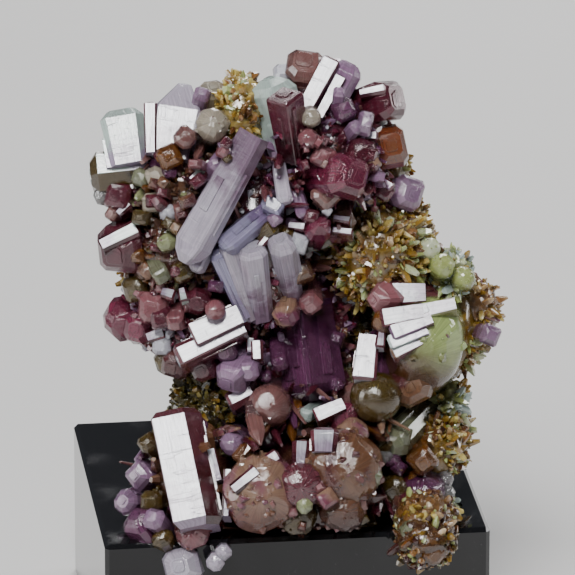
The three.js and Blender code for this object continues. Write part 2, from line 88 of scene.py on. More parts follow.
class Nodes:
    def __init__(self, name):
        self.material = bpy.data.materials.new(name)
        self.material.use_nodes = True
        self.tree = self.material.node_tree
        self.tree.nodes.clear()
        self.output = self.tree.nodes.new("ShaderNodeOutputMaterial")
        self.shader = self.tree.nodes.new("ShaderNodeBsdfPrincipled")
        self.join(self.shader.outputs[0], self.output.inputs["Surface"])

    def join(self, value, socket):
        if isinstance(value, bpy.types.NodeSocket):
            self.tree.links.new(value, socket)
        elif isinstance(value, (tuple, list)) and len(value) == 3 and socket.type == "RGBA":
            socket.default_value = (*value, 1)
        else:
            socket.default_value = value

    def set(self, **values):
        for name, value in values.items():
            self.join(value, self.shader.inputs[name.replace("_", " ")])

    def attribute(self, name):
        node = self.tree.nodes.new("ShaderNodeAttribute")
        node.attribute_name = name
        return node.outputs["Fac"]

    def millimetres(self):
        coordinates = self.tree.nodes.new("ShaderNodeTexCoord")
        return self.vector("SCALE", coordinates.outputs["Object"], 1000)

    def vector(self, operation, first, second):
        node = self.tree.nodes.new("ShaderNodeVectorMath")
        node.operation = operation
        self.join(first, node.inputs[0])
        self.join(second, node.inputs["Scale"] if operation == "SCALE" else node.inputs[1])
        return node.outputs["Vector"]

    def part(self, vector, axis):
        node = self.tree.nodes.new("ShaderNodeSeparateXYZ")
        self.join(vector, node.inputs[0])
        return node.outputs[axis]

    def combine(self, x, y, z):
        node = self.tree.nodes.new("ShaderNodeCombineXYZ")
        for value, socket in zip((x, y, z), node.inputs):
            self.join(value, socket)
        return node.outputs["Vector"]

    def maths(self, operation, first, second):
        node = self.tree.nodes.new("ShaderNodeMath")
        node.operation = operation
        self.join(first, node.inputs[0])
        self.join(second, node.inputs[1])
        return node.outputs[0]

    def noise(self, vector, scale, detail=3.0, roughness=0.5, distortion=0.0):
        node = self.tree.nodes.new("ShaderNodeTexNoise")
        self.join(vector, node.inputs["Vector"])
        node.inputs["Scale"].default_value = scale
        node.inputs["Detail"].default_value = detail
        node.inputs["Roughness"].default_value = roughness
        node.inputs["Distortion"].default_value = distortion
        return node.outputs["Fac"]

    def span(self, value, low, high, least=0.0, most=1.0):
        node = self.tree.nodes.new("ShaderNodeMapRange")
        node.interpolation_type = "SMOOTHSTEP"
        self.join(value, node.inputs["Value"])
        node.inputs["From Min"].default_value = low
        node.inputs["From Max"].default_value = high
        node.inputs["To Min"].default_value = least
        node.inputs["To Max"].default_value = most
        return node.outputs["Result"]

    def blend(self, share, first, second, mode="MIX"):
        node = self.tree.nodes.new("ShaderNodeMix")
        node.data_type = "RGBA"
        node.blend_type = mode
        self.join(share, node.inputs[0])
        self.join(first, node.inputs[6])
        self.join(second, node.inputs[7])
        return node.outputs[2]

    def bump(self, height, distance, strength=1.0, normal=None):
        node = self.tree.nodes.new("ShaderNodeBump")
        node.inputs["Strength"].default_value = strength
        node.inputs["Distance"].default_value = distance
        self.join(height, node.inputs["Height"])
        if normal is not None:
            self.join(normal, node.inputs["Normal"])
        return node.outputs["Normal"]

    def absorb(self, colour, density):
        node = self.tree.nodes.new("ShaderNodeVolumeAbsorption")
        node.inputs["Color"].default_value = (*colour, 1)
        node.inputs["Density"].default_value = density
        self.join(node.outputs[0], self.output.inputs["Volume"])


# Crystal colours: deep at the root, body in the middle, end at the tip, and how clear the crystal is

def stone(deep, body, end, clear, **more):
    return {"deep": deep, "body": body, "end": end, "clear": clear, **more}


looks = {
    # white is partly the crystals' own pale colour and partly a painted highlight, given to faces turned to
    # the key light
    "white": stone((0.34, 0.27, 0.36), (0.56, 0.55, 0.62), (0.68, 0.74, 0.76), 0.15),
    "cream": stone((0.26, 0.15, 0.11), (0.46, 0.4, 0.31), (0.64, 0.62, 0.54), 0.3),
    "mint": stone((0.36, 0.29, 0.4), (0.48, 0.58, 0.54), (0.56, 0.72, 0.64), 0.2),
    "lilac": stone((0.17, 0.06, 0.13), (0.36, 0.21, 0.35), (0.54, 0.44, 0.56), 0.4),
    "lathLilac": stone((0.26, 0.17, 0.25), (0.54, 0.48, 0.58), (0.68, 0.72, 0.75), 0.25),
    "blueLilac": stone((0.2, 0.14, 0.27), (0.34, 0.31, 0.47), (0.5, 0.52, 0.66), 0.25),
    "purple": stone((0.07, 0.012, 0.05), (0.19, 0.055, 0.14), (0.36, 0.2, 0.33), 0.5),
    "wine": stone((0.06, 0.006, 0.014), (0.16, 0.022, 0.045), (0.34, 0.12, 0.16), 0.5),
    "plum": stone((0.08, 0.012, 0.02), (0.2, 0.05, 0.07), (0.28, 0.14, 0.17), 0.45),
    "magenta": stone((0.1, 0.006, 0.03), (0.27, 0.035, 0.085), (0.48, 0.16, 0.22), 0.5),
    "pink": stone((0.16, 0.03, 0.045), (0.36, 0.13, 0.15), (0.56, 0.34, 0.34), 0.45),
    "dusty": stone((0.1, 0.03, 0.03), (0.27, 0.12, 0.11), (0.46, 0.32, 0.28), 0.4),
    "beige": stone((0.14, 0.04, 0.022), (0.36, 0.21, 0.14), (0.56, 0.46, 0.36), 0.35,
                   spot=(0.24, 0.05, 0.13), foot=(0.14, 0.03, 0.014), footFrom=19, footTo=24.5, lean=0),
    "brown": stone((0.07, 0.018, 0.008), (0.22, 0.1, 0.05), (0.4, 0.28, 0.17), 0.4,
                   spot=(0.1, 0.013, 0.026), foot=(0.07, 0.016, 0.014), footFrom=18.5, footTo=24, lean=0),
    "olive": stone((0.016, 0.008, 0.002), (0.1, 0.062, 0.012), (0.24, 0.19, 0.06), 0.4),
    "amber": stone((0.05, 0.012, 0.002), (0.23, 0.08, 0.012), (0.38, 0.21, 0.08), 0.5),
    "rosewood": stone((0.07, 0.01, 0.005), (0.24, 0.06, 0.02), (0.4, 0.22, 0.12), 0.4),
    "greyGreen": stone((0.08, 0.065, 0.03), (0.24, 0.25, 0.15), (0.42, 0.47, 0.36), 0.4),
    "paleGreen": stone((0.12, 0.09, 0.03), (0.34, 0.37, 0.18), (0.58, 0.66, 0.46), 0.35),
    "lime": stone((0.2, 0.19, 0.05), (0.5, 0.62, 0.22), (0.74, 0.84, 0.54), 0.3,
                  foot=(0.09, 0.034, 0.012), footFrom=40.5, footTo=47, lean=0.65),
    "glass": stone((0.45, 0.4, 0.4), (0.68, 0.66, 0.66), (0.82, 0.82, 0.82), 0.8),
}

crystalFinish = {
    "ior": 1.7,
    "coat": 0.35,
    "coatIor": 1.6,
    "coatRoughness": 0.04,
    "roughness": (0.05, 0.24),  # on fresh and on etched places
    "absorption": 520,
    "scatter": 0.2,
    "scatterDepth": 0.0012,
    "cloudScale": 0.42,
    "cloudStrength": 1.3,
    "bodyFrom": (0.14, 0.56),  # where the root's colour gives way, as a share of the length
    "endFrom": (0.92, 1.6),
    "veil": 0.3,
    "paleVeil": (0.8, 0.79, 0.79),
    "spotStrength": 0.85,
    "grooveShade": (0.74, 1.14),
    "striation": 0.00003,
    "ledge": 0.00002,
    "waves": 0.00003,
}


def crystalStone(name):
    look = looks[name]
    nodes = Nodes(name + "Crystal")
    spot = nodes.millimetres()
    seed = nodes.attribute("seed")
    along = nodes.attribute("along")
    around = nodes.attribute("around")
    rise = nodes.attribute("rise")
    tone = nodes.attribute("tone")
    shifted = nodes.vector("ADD", spot, nodes.combine(nodes.maths("MULTIPLY", seed, 37), 0, 0))
    cloud = nodes.noise(shifted, crystalFinish["cloudScale"], 4, 0.6, 0.6)
    cloudy = nodes.maths("MULTIPLY", nodes.maths("SUBTRACT", cloud, 0.5), crystalFinish["cloudStrength"])
    level = nodes.maths("ADD", rise, cloudy)
    colour = nodes.blend(nodes.span(level, *crystalFinish["bodyFrom"]), look["deep"], look["body"])
    colour = nodes.blend(nodes.span(level, *crystalFinish["endFrom"]), colour, look["end"])
    grooves = nodes.combine(nodes.maths("MULTIPLY", around, 3.2), nodes.maths("MULTIPLY", along, 0.16),
                            nodes.maths("MULTIPLY", seed, 61))
    lines = nodes.noise(grooves, 1.6, 4, 0.62)
    across = nodes.combine(nodes.maths("MULTIPLY", around, 0.25), nodes.maths("MULTIPLY", along, 2.6),
                           nodes.maths("MULTIPLY", seed, 43))
    rungs = nodes.noise(across, 1.1, 3, 0.6)
    wisps = nodes.noise(nodes.vector("ADD", shifted, nodes.combine(0, lines, rungs)), 1.1, 5, 0.68, 1.4)
    veil = nodes.span(wisps, 0.56, 0.8, 0, crystalFinish["veil"])
    pale = nodes.blend(0.3, look["end"], crystalFinish["paleVeil"])
    colour = nodes.blend(veil, colour, pale)
    if "spot" in look:
        patches = nodes.noise(shifted, 0.22, 2, 0.5, 0.8)
        patch = nodes.span(patches, 0.47, 0.62, 0, crystalFinish["spotStrength"])
        colour = nodes.blend(patch, colour, look["spot"])
    if "foot" in look:
        height = nodes.maths("ADD", nodes.part(spot, "Z"), nodes.maths("MULTIPLY", cloud, 3))
        height = nodes.maths("ADD", height, nodes.maths("MULTIPLY", nodes.part(spot, "X"), look["lean"]))
        colour = nodes.blend(nodes.span(height, look["footFrom"], look["footTo"]), look["foot"], colour)
    shade = nodes.maths("MULTIPLY", nodes.span(lines, 0.25, 0.75, *crystalFinish["grooveShade"]), tone)
    colour = nodes.blend(1.0, colour, nodes.combine(shade, shade, shade), "MULTIPLY")
    low, high = crystalFinish["roughness"]
    etched = nodes.span(nodes.noise(shifted, 0.9, 4, 0.6), 0.5, 0.72, low, high)
    normal = nodes.bump(nodes.noise(shifted, 0.55, 2), crystalFinish["waves"])
    normal = nodes.bump(lines, crystalFinish["striation"], 1, normal)
    normal = nodes.bump(rungs, crystalFinish["striation"] * 0.5, 1, normal)
    ledges = nodes.span(nodes.noise(across, 0.5, 2, 0.5), 0.6, 0.63)
    normal = nodes.bump(ledges, crystalFinish["ledge"], 1, normal)
    nodes.set(Base_Color=colour, Roughness=etched, IOR=crystalFinish["ior"], Normal=normal)
    nodes.set(Transmission_Weight=look["clear"])
    nodes.set(Subsurface_Weight=crystalFinish["scatter"], Subsurface_Scale=crystalFinish["scatterDepth"])
    nodes.set(Coat_Weight=crystalFinish["coat"], Coat_IOR=crystalFinish["coatIor"])
    nodes.set(Coat_Roughness=crystalFinish["coatRoughness"])
    nodes.shader.inputs["Subsurface Radius"].default_value = (1.0, 0.7, 0.8)
    body = look["body"]
    nodes.absorb(tuple(min(value * 1.6 + 0.1, 0.95) for value in body), crystalFinish["absorption"])
    return nodes.material


# Golden and green diopside grains

grainLooks = {
    "gold": {"dark": (0.06, 0.026, 0.003), "body": (0.36, 0.2, 0.02), "pale": (0.78, 0.62, 0.2)},
    "moss": {"dark": (0.014, 0.01, 0.002), "body": (0.08, 0.06, 0.012), "pale": (0.24, 0.21, 0.06)},
    "limeGrain": {"dark": (0.2, 0.2, 0.04), "body": (0.5, 0.58, 0.2), "pale": (0.78, 0.84, 0.58)},
    "rust": {"dark": (0.08, 0.025, 0.006), "body": (0.34, 0.16, 0.045), "pale": (0.66, 0.48, 0.28)},
}


grainFinish = {
    "ior": 1.68,
    "clear": 0.3,
    "scatter": 0.2,
    "scatterDepth": 0.0008,
    "coat": 0.5,
    "coatIor": 1.8,
    "coatRoughness": 0.08,
    "roughness": (0.06, 0.3),
    "cloudScale": 0.8,
    "bodyFrom": (0.3, 0.75),
    "paleFrom": (0.75, 1.15),
    # strength of the pale specks painted on the grains as glints
    "paintedGlints": 0.5,
    "bumps": 0.00006,
}


def grainStone(name):
    look = grainLooks[name]
    nodes = Nodes(name + "Diopside")
    spot = nodes.millimetres()
    seed = nodes.attribute("seed")
    rise = nodes.attribute("rise")
    shifted = nodes.vector("ADD", spot, nodes.combine(0, nodes.maths("MULTIPLY", seed, 29), 0))
    cloud = nodes.noise(shifted, grainFinish["cloudScale"], 4, 0.6)
    level = nodes.maths("ADD", nodes.maths("MULTIPLY", rise, 0.5), nodes.maths("MULTIPLY", cloud, 0.9))
    level = nodes.maths("ADD", level, nodes.maths("MULTIPLY", nodes.maths("SUBTRACT", seed, 0.5), 0.5))
    colour = nodes.blend(nodes.span(level, *grainFinish["bodyFrom"]), look["dark"], look["body"])
    colour = nodes.blend(nodes.span(level, *grainFinish["paleFrom"]), colour, look["pale"])
    # pale specks on every grain are painted glints, standing in for the druse's sparkle
    paintedGlints = nodes.span(nodes.noise(shifted, 5.5, 3, 0.7), 0.6, 0.74, 0, grainFinish["paintedGlints"])
    colour = nodes.blend(paintedGlints, colour, look["pale"])
    tone = nodes.attribute("tone")
    colour = nodes.blend(1.0, colour, nodes.combine(tone, tone, tone), "MULTIPLY")
    normal = nodes.bump(nodes.noise(shifted, 3.2, 4, 0.6), grainFinish["bumps"])
    roughness = nodes.span(nodes.noise(shifted, 2.1, 3), 0.35, 0.7, *grainFinish["roughness"])
    nodes.set(Base_Color=colour, Roughness=roughness, IOR=grainFinish["ior"], Normal=normal)
    nodes.set(Transmission_Weight=grainFinish["clear"])
    nodes.set(Subsurface_Weight=grainFinish["scatter"], Subsurface_Scale=grainFinish["scatterDepth"])
    nodes.set(Coat_Weight=grainFinish["coat"], Coat_IOR=grainFinish["coatIor"])
    nodes.set(Coat_Roughness=grainFinish["coatRoughness"])
    nodes.shader.inputs["Subsurface Radius"].default_value = (1.0, 0.8, 0.4)
    return nodes.material


# The sloping front view in which everything is set out: [across, up, out] in millimetres

viewTurn = math.radians(-7)
viewRise = math.radians(20.5)
viewDistance = 700
blockAcross = -0.95  # where the middle of the block's top is in the view
blockUp = -18.7
blockTop = Vector((0, 0, 16))
viewRight = Vector((math.cos(viewTurn), math.sin(viewTurn), 0))
viewOut = Vector((math.sin(viewTurn), -math.cos(viewTurn), 0))
brightTurn = math.radians(-12)  # the way that the bright faces look
brightRise = math.radians(36.5)
brightWay = Vector((
    math.sin(brightTurn) * math.cos(brightRise),
    -math.cos(brightTurn) * math.cos(brightRise),
    math.sin(brightRise),
))
sight = Vector((viewOut.x * math.cos(viewRise), viewOut.y * math.cos(viewRise), math.sin(viewRise)))
overhangFrom = -16.9  # further forward than this a crystal may hang over the block's front edge
clearance = {"base": 16.3, "root": 16.6, "tip": 16.5, "front": 17}  # least heights, block's top at 16
litUsual = {"lean": 0.62, "flat": 0.72, "point": 0.16}  # shares of the height, the end and the width
domeHeight = 0.34  # of its width
bulges = [  # the front's two bulges: middle and half size, across and up, and how far out
    ((-2, 5), (20, 20), 12),
    ((0, -21), (21, 16), 19),
]
stub = {  # the ranges that small crystals on the front are drawn from
    "spread": 0.88,  # the root's share of the tip's way across
    "sideways": (-1, 1),
    "upright": (-1.4, 0.4),
    "behind": 3.4,
    "roll": (8, 82),
    "flat": (0.12, 0.6),
    "corner": (0.1, 0.42),
    "deep": (0.65, 1),
    "point": (0.25, 0.6),
}


def place(point):
    across, up, out = point
    lean = math.tan(viewRise) / viewDistance
    reach = out / math.cos(viewRise) / viewDistance
    nearness = (1 + blockUp * lean - reach) / (1 + up * lean)
    level = up * nearness - blockUp
    height = (level + out * math.sin(viewRise)) / math.cos(viewRise)
    flat = blockTop + viewRight * (across * nearness - blockAcross) + viewOut * out
    return flat + Vector((0, 0, height))


# A crystal from root to tip
def grown(root, tip, wide, tint, **shape):
    return {"root": place(root), "tip": place(tip), "wide": wide, "tint": tint, "roll": 14, **shape}


# A crystal with a bright face that runs from start to end
# the bright face takes the pale tint, white unless given, as a painted highlight; the other faces take the
# side tint
def lit(start, end, out, wide, deep, tint="white", **shape):
    half = (end[1] - start[1]) * litUsual["lean"] / 2
    back = brightWay * (-deep / 2)
    root = place((start[0], start[1], out + half)) + back
    tip = place((end[0], end[1], out - half)) + back
    slip = sight * ((tip - root).dot(brightWay) / sight.dot(brightWay) / 2)  # square to the bright way
    root += slip
    tip -= slip
    usual = {"flat": litUsual["flat"], "point": wide * litUsual["point"], "roll": 0, "side": "plum"}
    given = {"root": root, "tip": tip, "wide": wide, "deep": deep, "tint": tint, "bright": True}
    return {**usual, **given, **shape}


# A rounded crystal
def dome(root, tip, wide, tint, **shape):
    return grown(root, tip, wide, tint, **{"rounded": True, "point": wide * domeHeight, **shape})


# Rock that crystals grow from
def lump(middle, half, tint):
    return {"middle": place(middle), "half": half, "tint": tint}


# How far out the specimen's front is there
def frontOut(across, up):
    outs = []
    for middle, half, out in bulges:
        room = 1 - ((across - middle[0]) / half[0]) ** 2 - ((up - middle[1]) / half[1]) ** 2
        outs.append(out * math.sqrt(max(room, 0)))
    return max(outs)


# Small crystals at random over a stretch of the front
def stubs(across, up, count, size, seed, tints, lift=0.4):
    chance = random.Random(seed)
    made = []
    for _ in range(count):
        wide = chance.uniform(*size)
        tipAcross = chance.uniform(*across)
        tipUp = chance.uniform(*up)
        out = frontOut(tipAcross, tipUp) + lift + wide * 0.4
        rootAcross = tipAcross * stub["spread"] + chance.uniform(*stub["sideways"])
        rootUp = tipUp + chance.uniform(*stub["upright"])
        root = (rootAcross, rootUp, out - stub["behind"] - wide)
        tint = chance.choice(tints)
        shape = {key: chance.uniform(*stub[key]) for key in ("roll", "flat", "corner")}
        shape.update({key: wide * chance.uniform(*stub[key]) for key in ("deep", "point")})
        made.append(grown(root, (tipAcross, tipUp, out), wide, tint, **shape))
    return made


mixed = ["lilac", "pink", "wine", "brown", "white", "purple", "olive", "dusty"]

laths = {
    "lumps": [lump((-3.4, 4.5, 4.6), (5.6, 6, 9), "wine")],
    "crystals": [
        grown((-3.3, 15.3, 9.4), (-10.4, 2.5, 12.8), 3.2, "lathLilac", deep=2.6, corner=0.2, point=1.7,
              flat=0.3),
        grown((-6.9, 6.4, 9), (-9.3, 1.6, 11.8), 1.6, "lathLilac", roll=8),
        grown((-1.6, 7.9, 9.2), (-6.5, 3.9, 11.8), 2.4, "blueLilac", deep=1.8, flat=0.6),
        grown((-3.4, -2.9, 9.4), (-5.9, 4.4, 11.4), 2, "lathLilac", deep=1.6, flat=0.6),
        grown((-4.0, -2.9, 9.4), (-7.1, 4.0, 10.6), 2.2, "blueLilac", deep=2, flat=0.4, roll=4),
        grown((-2.7, -2.8, 8.6), (-3.6, 4.1, 11.6), 2.8, "lathLilac", roll=12, flat=0.7, point=0.5),
        grown((0.4, -0.9, 7.6), (-0.7, 4.9, 12), 2.6, "lathLilac", roll=10, flat=0.55, point=1),
        lit((-1, 3.6), (0.4, 2.9), 11.6, 0.7, 1.6),
        grown((-4.6, 4.0, 8.8), (-0.9, 6.3, 11), 1.6, "olive", roll=20),
        grown((-1.6, 6.5, 8.5), (0.2, 4.9, 11.2), 1.4, "olive", roll=30),
        grown((0.3, 4.2, 7), (1.2, 4.5, 11.4), 1.9, "white", roll=25),
        grown((-1.5, 6.6, 7.5), (-1.5, 8.4, 11.2), 2.2, "blueLilac", deep=1.6, flat=0.7, point=0.3),
        grown((-1.2, 6.2, 8), (-1.3, 6.9, 11.9), 1.3, "lilac", roll=15),
        lit((-3.1, 3.9), (-1.9, 5.3), 11.4, 0.8, 1.6),
        grown((-1.0, 13.4, 7.4), (-0.2, 8.4, 11), 1.5, "lathLilac", roll=6, flat=0.6),
        grown((0.2, 12.2, 7.2), (1.7, 7, 10.9), 1.3, "lilac", roll=14, flat=0.6),
        lit((0.1, 6.35), (1.8, 6.15), 11, 0.8, 2.4),
        grown((1.6, 6.4, 7), (2.5, 7.2, 11.6), 1.4, "wine", roll=20),
        grown((2.6, 4.8, 6), (3.2, 6.3, 12.2), 2.5, "magenta", point=1.6, flat=0.15, roll=30),
        grown((3.6, 7, 6.5), (4, 7.7, 11), 0.9, "white"),
        grown((1, 0.6, 6), (1.5, 1.8, 9.8), 2.2, "brown", roll=30),
    ],
}

upperRight = {
    "lumps": [lump((4.4, 14, 3), (6, 6.6, 5.4), "wine"), lump((2.2, 18.4, 2), (3.4, 3.6, 3), "purple")],
    "crystals": [
        grown((0.4, 13.2, 6.6), (-1.9, 20.9, 5.6), 3.7, "mint", roll=40, corner=0.16, point=1.2, flat=0.35),
        grown((0.7, 13, 8), (-0.3, 19.3, 9.4), 2.7, "wine", roll=48, flat=0.85, point=0.3, corner=0.1),
        grown((-0.2, 18.4, 1.4), (-0.4, 21.9, 4), 2.1, "white", roll=10, flat=0.6),
        grown((1.4, 18.4, 0.6), (1.8, 22.6, 4.6), 3.7, "dusty", corner=0.4, flat=0.66, point=0.8),
        lit((1.5, 17.7), (4.5, 23.1), 6.4, 1.8, 3, corner=0.12),
        grown((3.2, 16.6, 5), (6.1, 22.5, 3.2), 3.6, "lilac", deep=3.4, roll=8, flat=0.6, point=0.8),
        dome((2.2, 17.8, 5.6), (2.4, 16.7, 9.8), 2, "cream", roll=20),
        grown((4.9, 16.4, 5.6), (5.2, 19.8, 7.8), 1.2, "lilac", roll=10),
        lit((3.1, 17.2), (5.4, 21.3), 6.6, 1.1, 2.4, "lathLilac", corner=0.1),
        grown((6.4, 17.6, 2), (11, 19, 4.8), 3.9, "wine", corner=0.3, flat=0.6, point=1),
        lit((7.2, 19.6), (9.8, 20.1), 5.6, 1.2, 1.8),
        grown((8.6, 13.4, 2), (10.4, 14.3, 6.6), 4.3, "rosewood", corner=0.42, flat=0.5, point=1.5, roll=32),
        grown((2.4, 11, 6), (6.8, 11.1, 12.6), 4.1, "magenta", corner=0.34, flat=0.55, point=1.3, roll=12),
        lit((3.1, 10.9), (5.6, 11.9), 11, 1.7, 2.4, "lilac"),
        grown((7.4, 15.4, 4.6), (7.8, 16.6, 8.8), 2.5, "lilac", deep=1.5),
        lit((7.1, 15.3), (9, 15.3), 8, 0.9, 1.6),
        grown((4.8, 13.6, 6), (7.1, 16.3, 8.8), 1.5, "lilac", roll=12),
        dome((2, 14.2, 6), (2.1, 15, 11), 2.1, "pink"),
        lit((9, 11.1), (10.5, 10), 7.6, 1.1, 2.2, "lilac"),
        grown((8.8, 10.2, 2.6), (9.8, 9.6, 8), 1.9, "wine", roll=24),
        lit((8, 9), (8, 10.1), 9, 0.9, 1.8),
        grown((9.8, 9.6, 0.4), (12.5, 9.4, 5.4), 3.3, "lilac", corner=0.34, flat=0.5, roll=16),
        grown((4.6, 16.4, 3), (5.8, 18, 8), 2.3, "purple", roll=34),
        grown((6.8, 13, 4), (7.4, 13.7, 9.6), 2.7, "wine", roll=28),
        grown((3.4, 12.6, 5), (3.6, 13.2, 10.8), 2.2, "pink", roll=38),
        grown((3.4, 9.4, 5), (3.9, 9.2, 11), 2.6, "dusty", roll=20),
        lit((4.6, 7.1), (6.3, 6.8), 9.8, 0.8, 2.6),
        lit((4.5, 5.9), (6.5, 5.6), 9.9, 0.8, 2.6),
        grown((5.4, 8.6, 4), (5.6, 6.2, 8.8), 2.4, "beige"),
        *stubs((1.6, 5.4), (11.8, 15), 8, (0.7, 1.3), 11, ["pink", "plum", "dusty", "wine"]),
        *stubs((6.6, 10), (11, 13.4), 6, (0.9, 1.6), 12, ["wine", "beige", "lilac"]),
    ],
}

upperLeft = {
    "lumps": [
        lump((-10.8, 10.4, 2.4), (5.2, 6.8, 5.8), "brown"), lump((-11.6, 4.2, 4), (4.8, 6.2, 5.2), "brown"),
    ],
    "crystals": [
        lit((-15.9, 12.6), (-16.8, 18.1), 6.2, 4.3, 4.4, "mint", point=0.9, flat=0.66, side="mint"),
        lit((-11.9, 13.2), (-10.4, 20.8), 6, 4.4, 4, "white", corner=0.1, point=2.8, flat=0.3,
            side="lathLilac"),
        dome((-8.4, 15, 2), (-7.3, 16.6, 9.6), 3.5, "cream"),
        grown((-7.8, 15.6, 1), (-7.4, 20.2, 4), 2.4, "cream", roll=30),
        grown((-9.2, 16.6, 2.4), (-8.5, 19.6, 5.4), 1.6, "lilac", roll=20),
        lit((-13.6, 13), (-19.9, 12.3), 6.6, 3.8, 5, "mint", corner=(0.75, 0.2), flat=0.6, point=0.8,
            side="olive"),
        lit((-13.7, 13.6), (-13.75, 18.7), 6.6, 1.3, 1.6, flat=0.5),
        grown((-10.4, 14.4, 5), (-10.2, 15.1, 9.8), 2.1, "dusty", roll=18),
        grown((-11.2, 12.4, 4), (-11.9, 13.2, 9.8), 2.3, "amber", roll=30),
        grown((-12.6, 10.6, 4), (-13.3, 11.2, 9.4), 1.9, "cream", roll=32, corner=0.45),
        grown((-13.6, 10.4, 3), (-14.8, 11.1, 8.2), 1.8, "greyGreen", roll=12),
        lit((-9.6, 10.8), (-7.5, 12.6), 9.8, 1.3, 1.8, "mint"),
        grown((-9.2, 9.2, 6.4), (-6.4, 12.7, 9.8), 2.3, "lilac", roll=26),
        grown((-14, 12.8, 5.6), (-11.4, 11.4, 9.4), 1.4, "purple", roll=30),
        grown((-12.8, 7.8, 4.6), (-13.7, 8.6, 9.8), 1.9, "cream", roll=26, corner=0.45),
        dome((-11.6, 6.8, 5), (-12, 7.6, 10.6), 1.8, "white", roll=10),
        dome((-11.7, 3.8, 6), (-12.1, 4.7, 11.4), 2.2, "paleGreen", roll=20, deep=1.8),
        grown((-14, 3.8, 7), (-12.4, 0.8, 11.4), 1.7, "greyGreen", roll=6),
        grown((-15, 9, 2.4), (-17.3, 9.2, 7.8), 2.6, "wine", roll=34),
        grown((-16.4, 8.6, 3.4), (-18.9, 9.3, 6.6), 1.7, "glass", roll=16),
        grown((-15.8, 7, 4), (-17.8, 7.4, 7.8), 1.3, "dusty", roll=24),
        lit((-17, 7.5), (-15.8, 8.6), 8, 1, 2),
        grown((-9.6, 6.6, 4), (-10.4, 7.6, 10.6), 2.4, "dusty", roll=28),
        grown((-10.2, 1.4, 5.6), (-10.6, 1.6, 11.2), 2, "olive", roll=20),
        *stubs((-15.6, -8.4), (1, 11), 18, (0.9, 1.8), 21, ["brown", "plum", "amber", "brown", "olive",
               "wine"]),
        *stubs((-10, -6), (12.4, 15.4), 6, (0.9, 1.5), 22, mixed),
    ],
}

backs = {
    "lumps": [],
    "crystals": [
        grown((3, 16, -0.5), (4, 19.2, -7.5), 3.6, "purple", roll=30),
        grown((6.4, 13, -1), (8.6, 14.3, -7.4), 3.2, "lilac", roll=10),
        grown((1, 17.5, 0.5), (-1.6, 18.2, -6.2), 3, "plum", roll=50),
        grown((5, 10.5, -1.4), (6.6, 10.2, -8.6), 2.6, "wine", roll=20),
        grown((-11.4, 12.4, -1), (-14.4, 14.8, -7.4), 3.6, "lilac", roll=24),
        grown((-10.4, 13.4, 0), (-11.4, 16.8, -5.8), 2.8, "pink", roll=44),
        grown((-13, 9, -0.6), (-16.6, 9.2, -6.4), 3.2, "wine", roll=14),
        grown((-9, 10, -2), (-9.6, 12, -9), 2.6, "purple", roll=34),
        grown((-13.6, -1, 1), (-13.8, 0.2, -5.4), 3, "purple", roll=30),
        grown((-14, -3.4, 1.5), (-15, -4.4, -4.4), 2.8, "wine", roll=16),
    ],
}

leftSide = {
    "lumps": [
        lump((-12.8, -1.4, 3.6), (3.2, 5.6, 4.6), "wine"), lump((-8.8, -3.6, 5.6), (4.2, 5.2, 4), "wine"),
    ],
    "crystals": [
        grown((-13.8, 6, 2.6), (-17.5, 3.2, 9.4), 4.8, "wine", corner=0.36, point=1.4, flat=0.5, roll=30),
        lit((-18.7, 4.4), (-14.9, 6.2), 9.6, 1.8, 3, "mint", side="plum"),
        grown((-14, 1, 4), (-15.4, -0.4, 9.2), 2.6, "olive", roll=30),
        grown((-14.4, -3, 3), (-17.7, -3.2, 6.8), 3.9, "magenta", point=1.4, flat=0.35, roll=24),
        grown((-13.4, -3, 4), (-15.2, -4.3, 9), 3.1, "magenta", roll=12),
        grown((-12.2, -1.4, 5), (-13.6, -2.2, 10.8), 3.1, "pink", corner=0.34),
        grown((-11.8, -2.4, 5.6), (-12.8, -3.2, 11.4), 2.1, "wine", roll=20),
        lit((-12.6, -0.3), (-11.3, -0.7), 11.2, 1.2, 2.2),
        lit((-10.6, 0), (-10.3, -1.3), 11.6, 1, 2, "mint"),
        grown((-10.6, -0.6, 7), (-11.3, -3.9, 11.8), 1.8, "pink", roll=8),
        grown((-8.6, -0.4, 6), (-9.1, -1.6, 11.4), 2.6, "wine", roll=30),
        dome((-7, -1.6, 7), (-7.3, -2.4, 13), 2.1, "pink"),
        lit((-14.1, -4.9), (-12.3, -4.3), 10, 1.4, 2.4),
        lit((-4.4, -3.7), (-11.1, -6.9), 12.6, 2.3, 4, "white", corner=(0.16, 0.4), flat=0.8),
        lit((-4.8, -2.5), (-9.6, -4.7), 12.2, 2.5, 3.6, "white", corner=0.1, flat=0.85, point=0.2),
        grown((-9.4, -6.4, 6.4), (-11.7, -8, 11), 2.8, "brown", roll=18),
        grown((-10.8, -6, 5.6), (-12.4, -7.7, 9.8), 2.5, "olive", roll=34),
        grown((-11.2, -5, 5.4), (-12.8, -5.9, 10.4), 1.9, "white", roll=26),
        grown((-7.4, -6.2, 6), (-8.6, -8.4, 11.4), 2.8, "wine", roll=36),
        grown((-5.2, -4.6, 7), (-6.4, -6.6, 11.8), 2.2, "purple", roll=26),
        *stubs((-15.4, -7), (-5, 1), 12, (0.9, 1.7), 31, ["wine", "pink", "magenta", "purple"]),
    ],
}

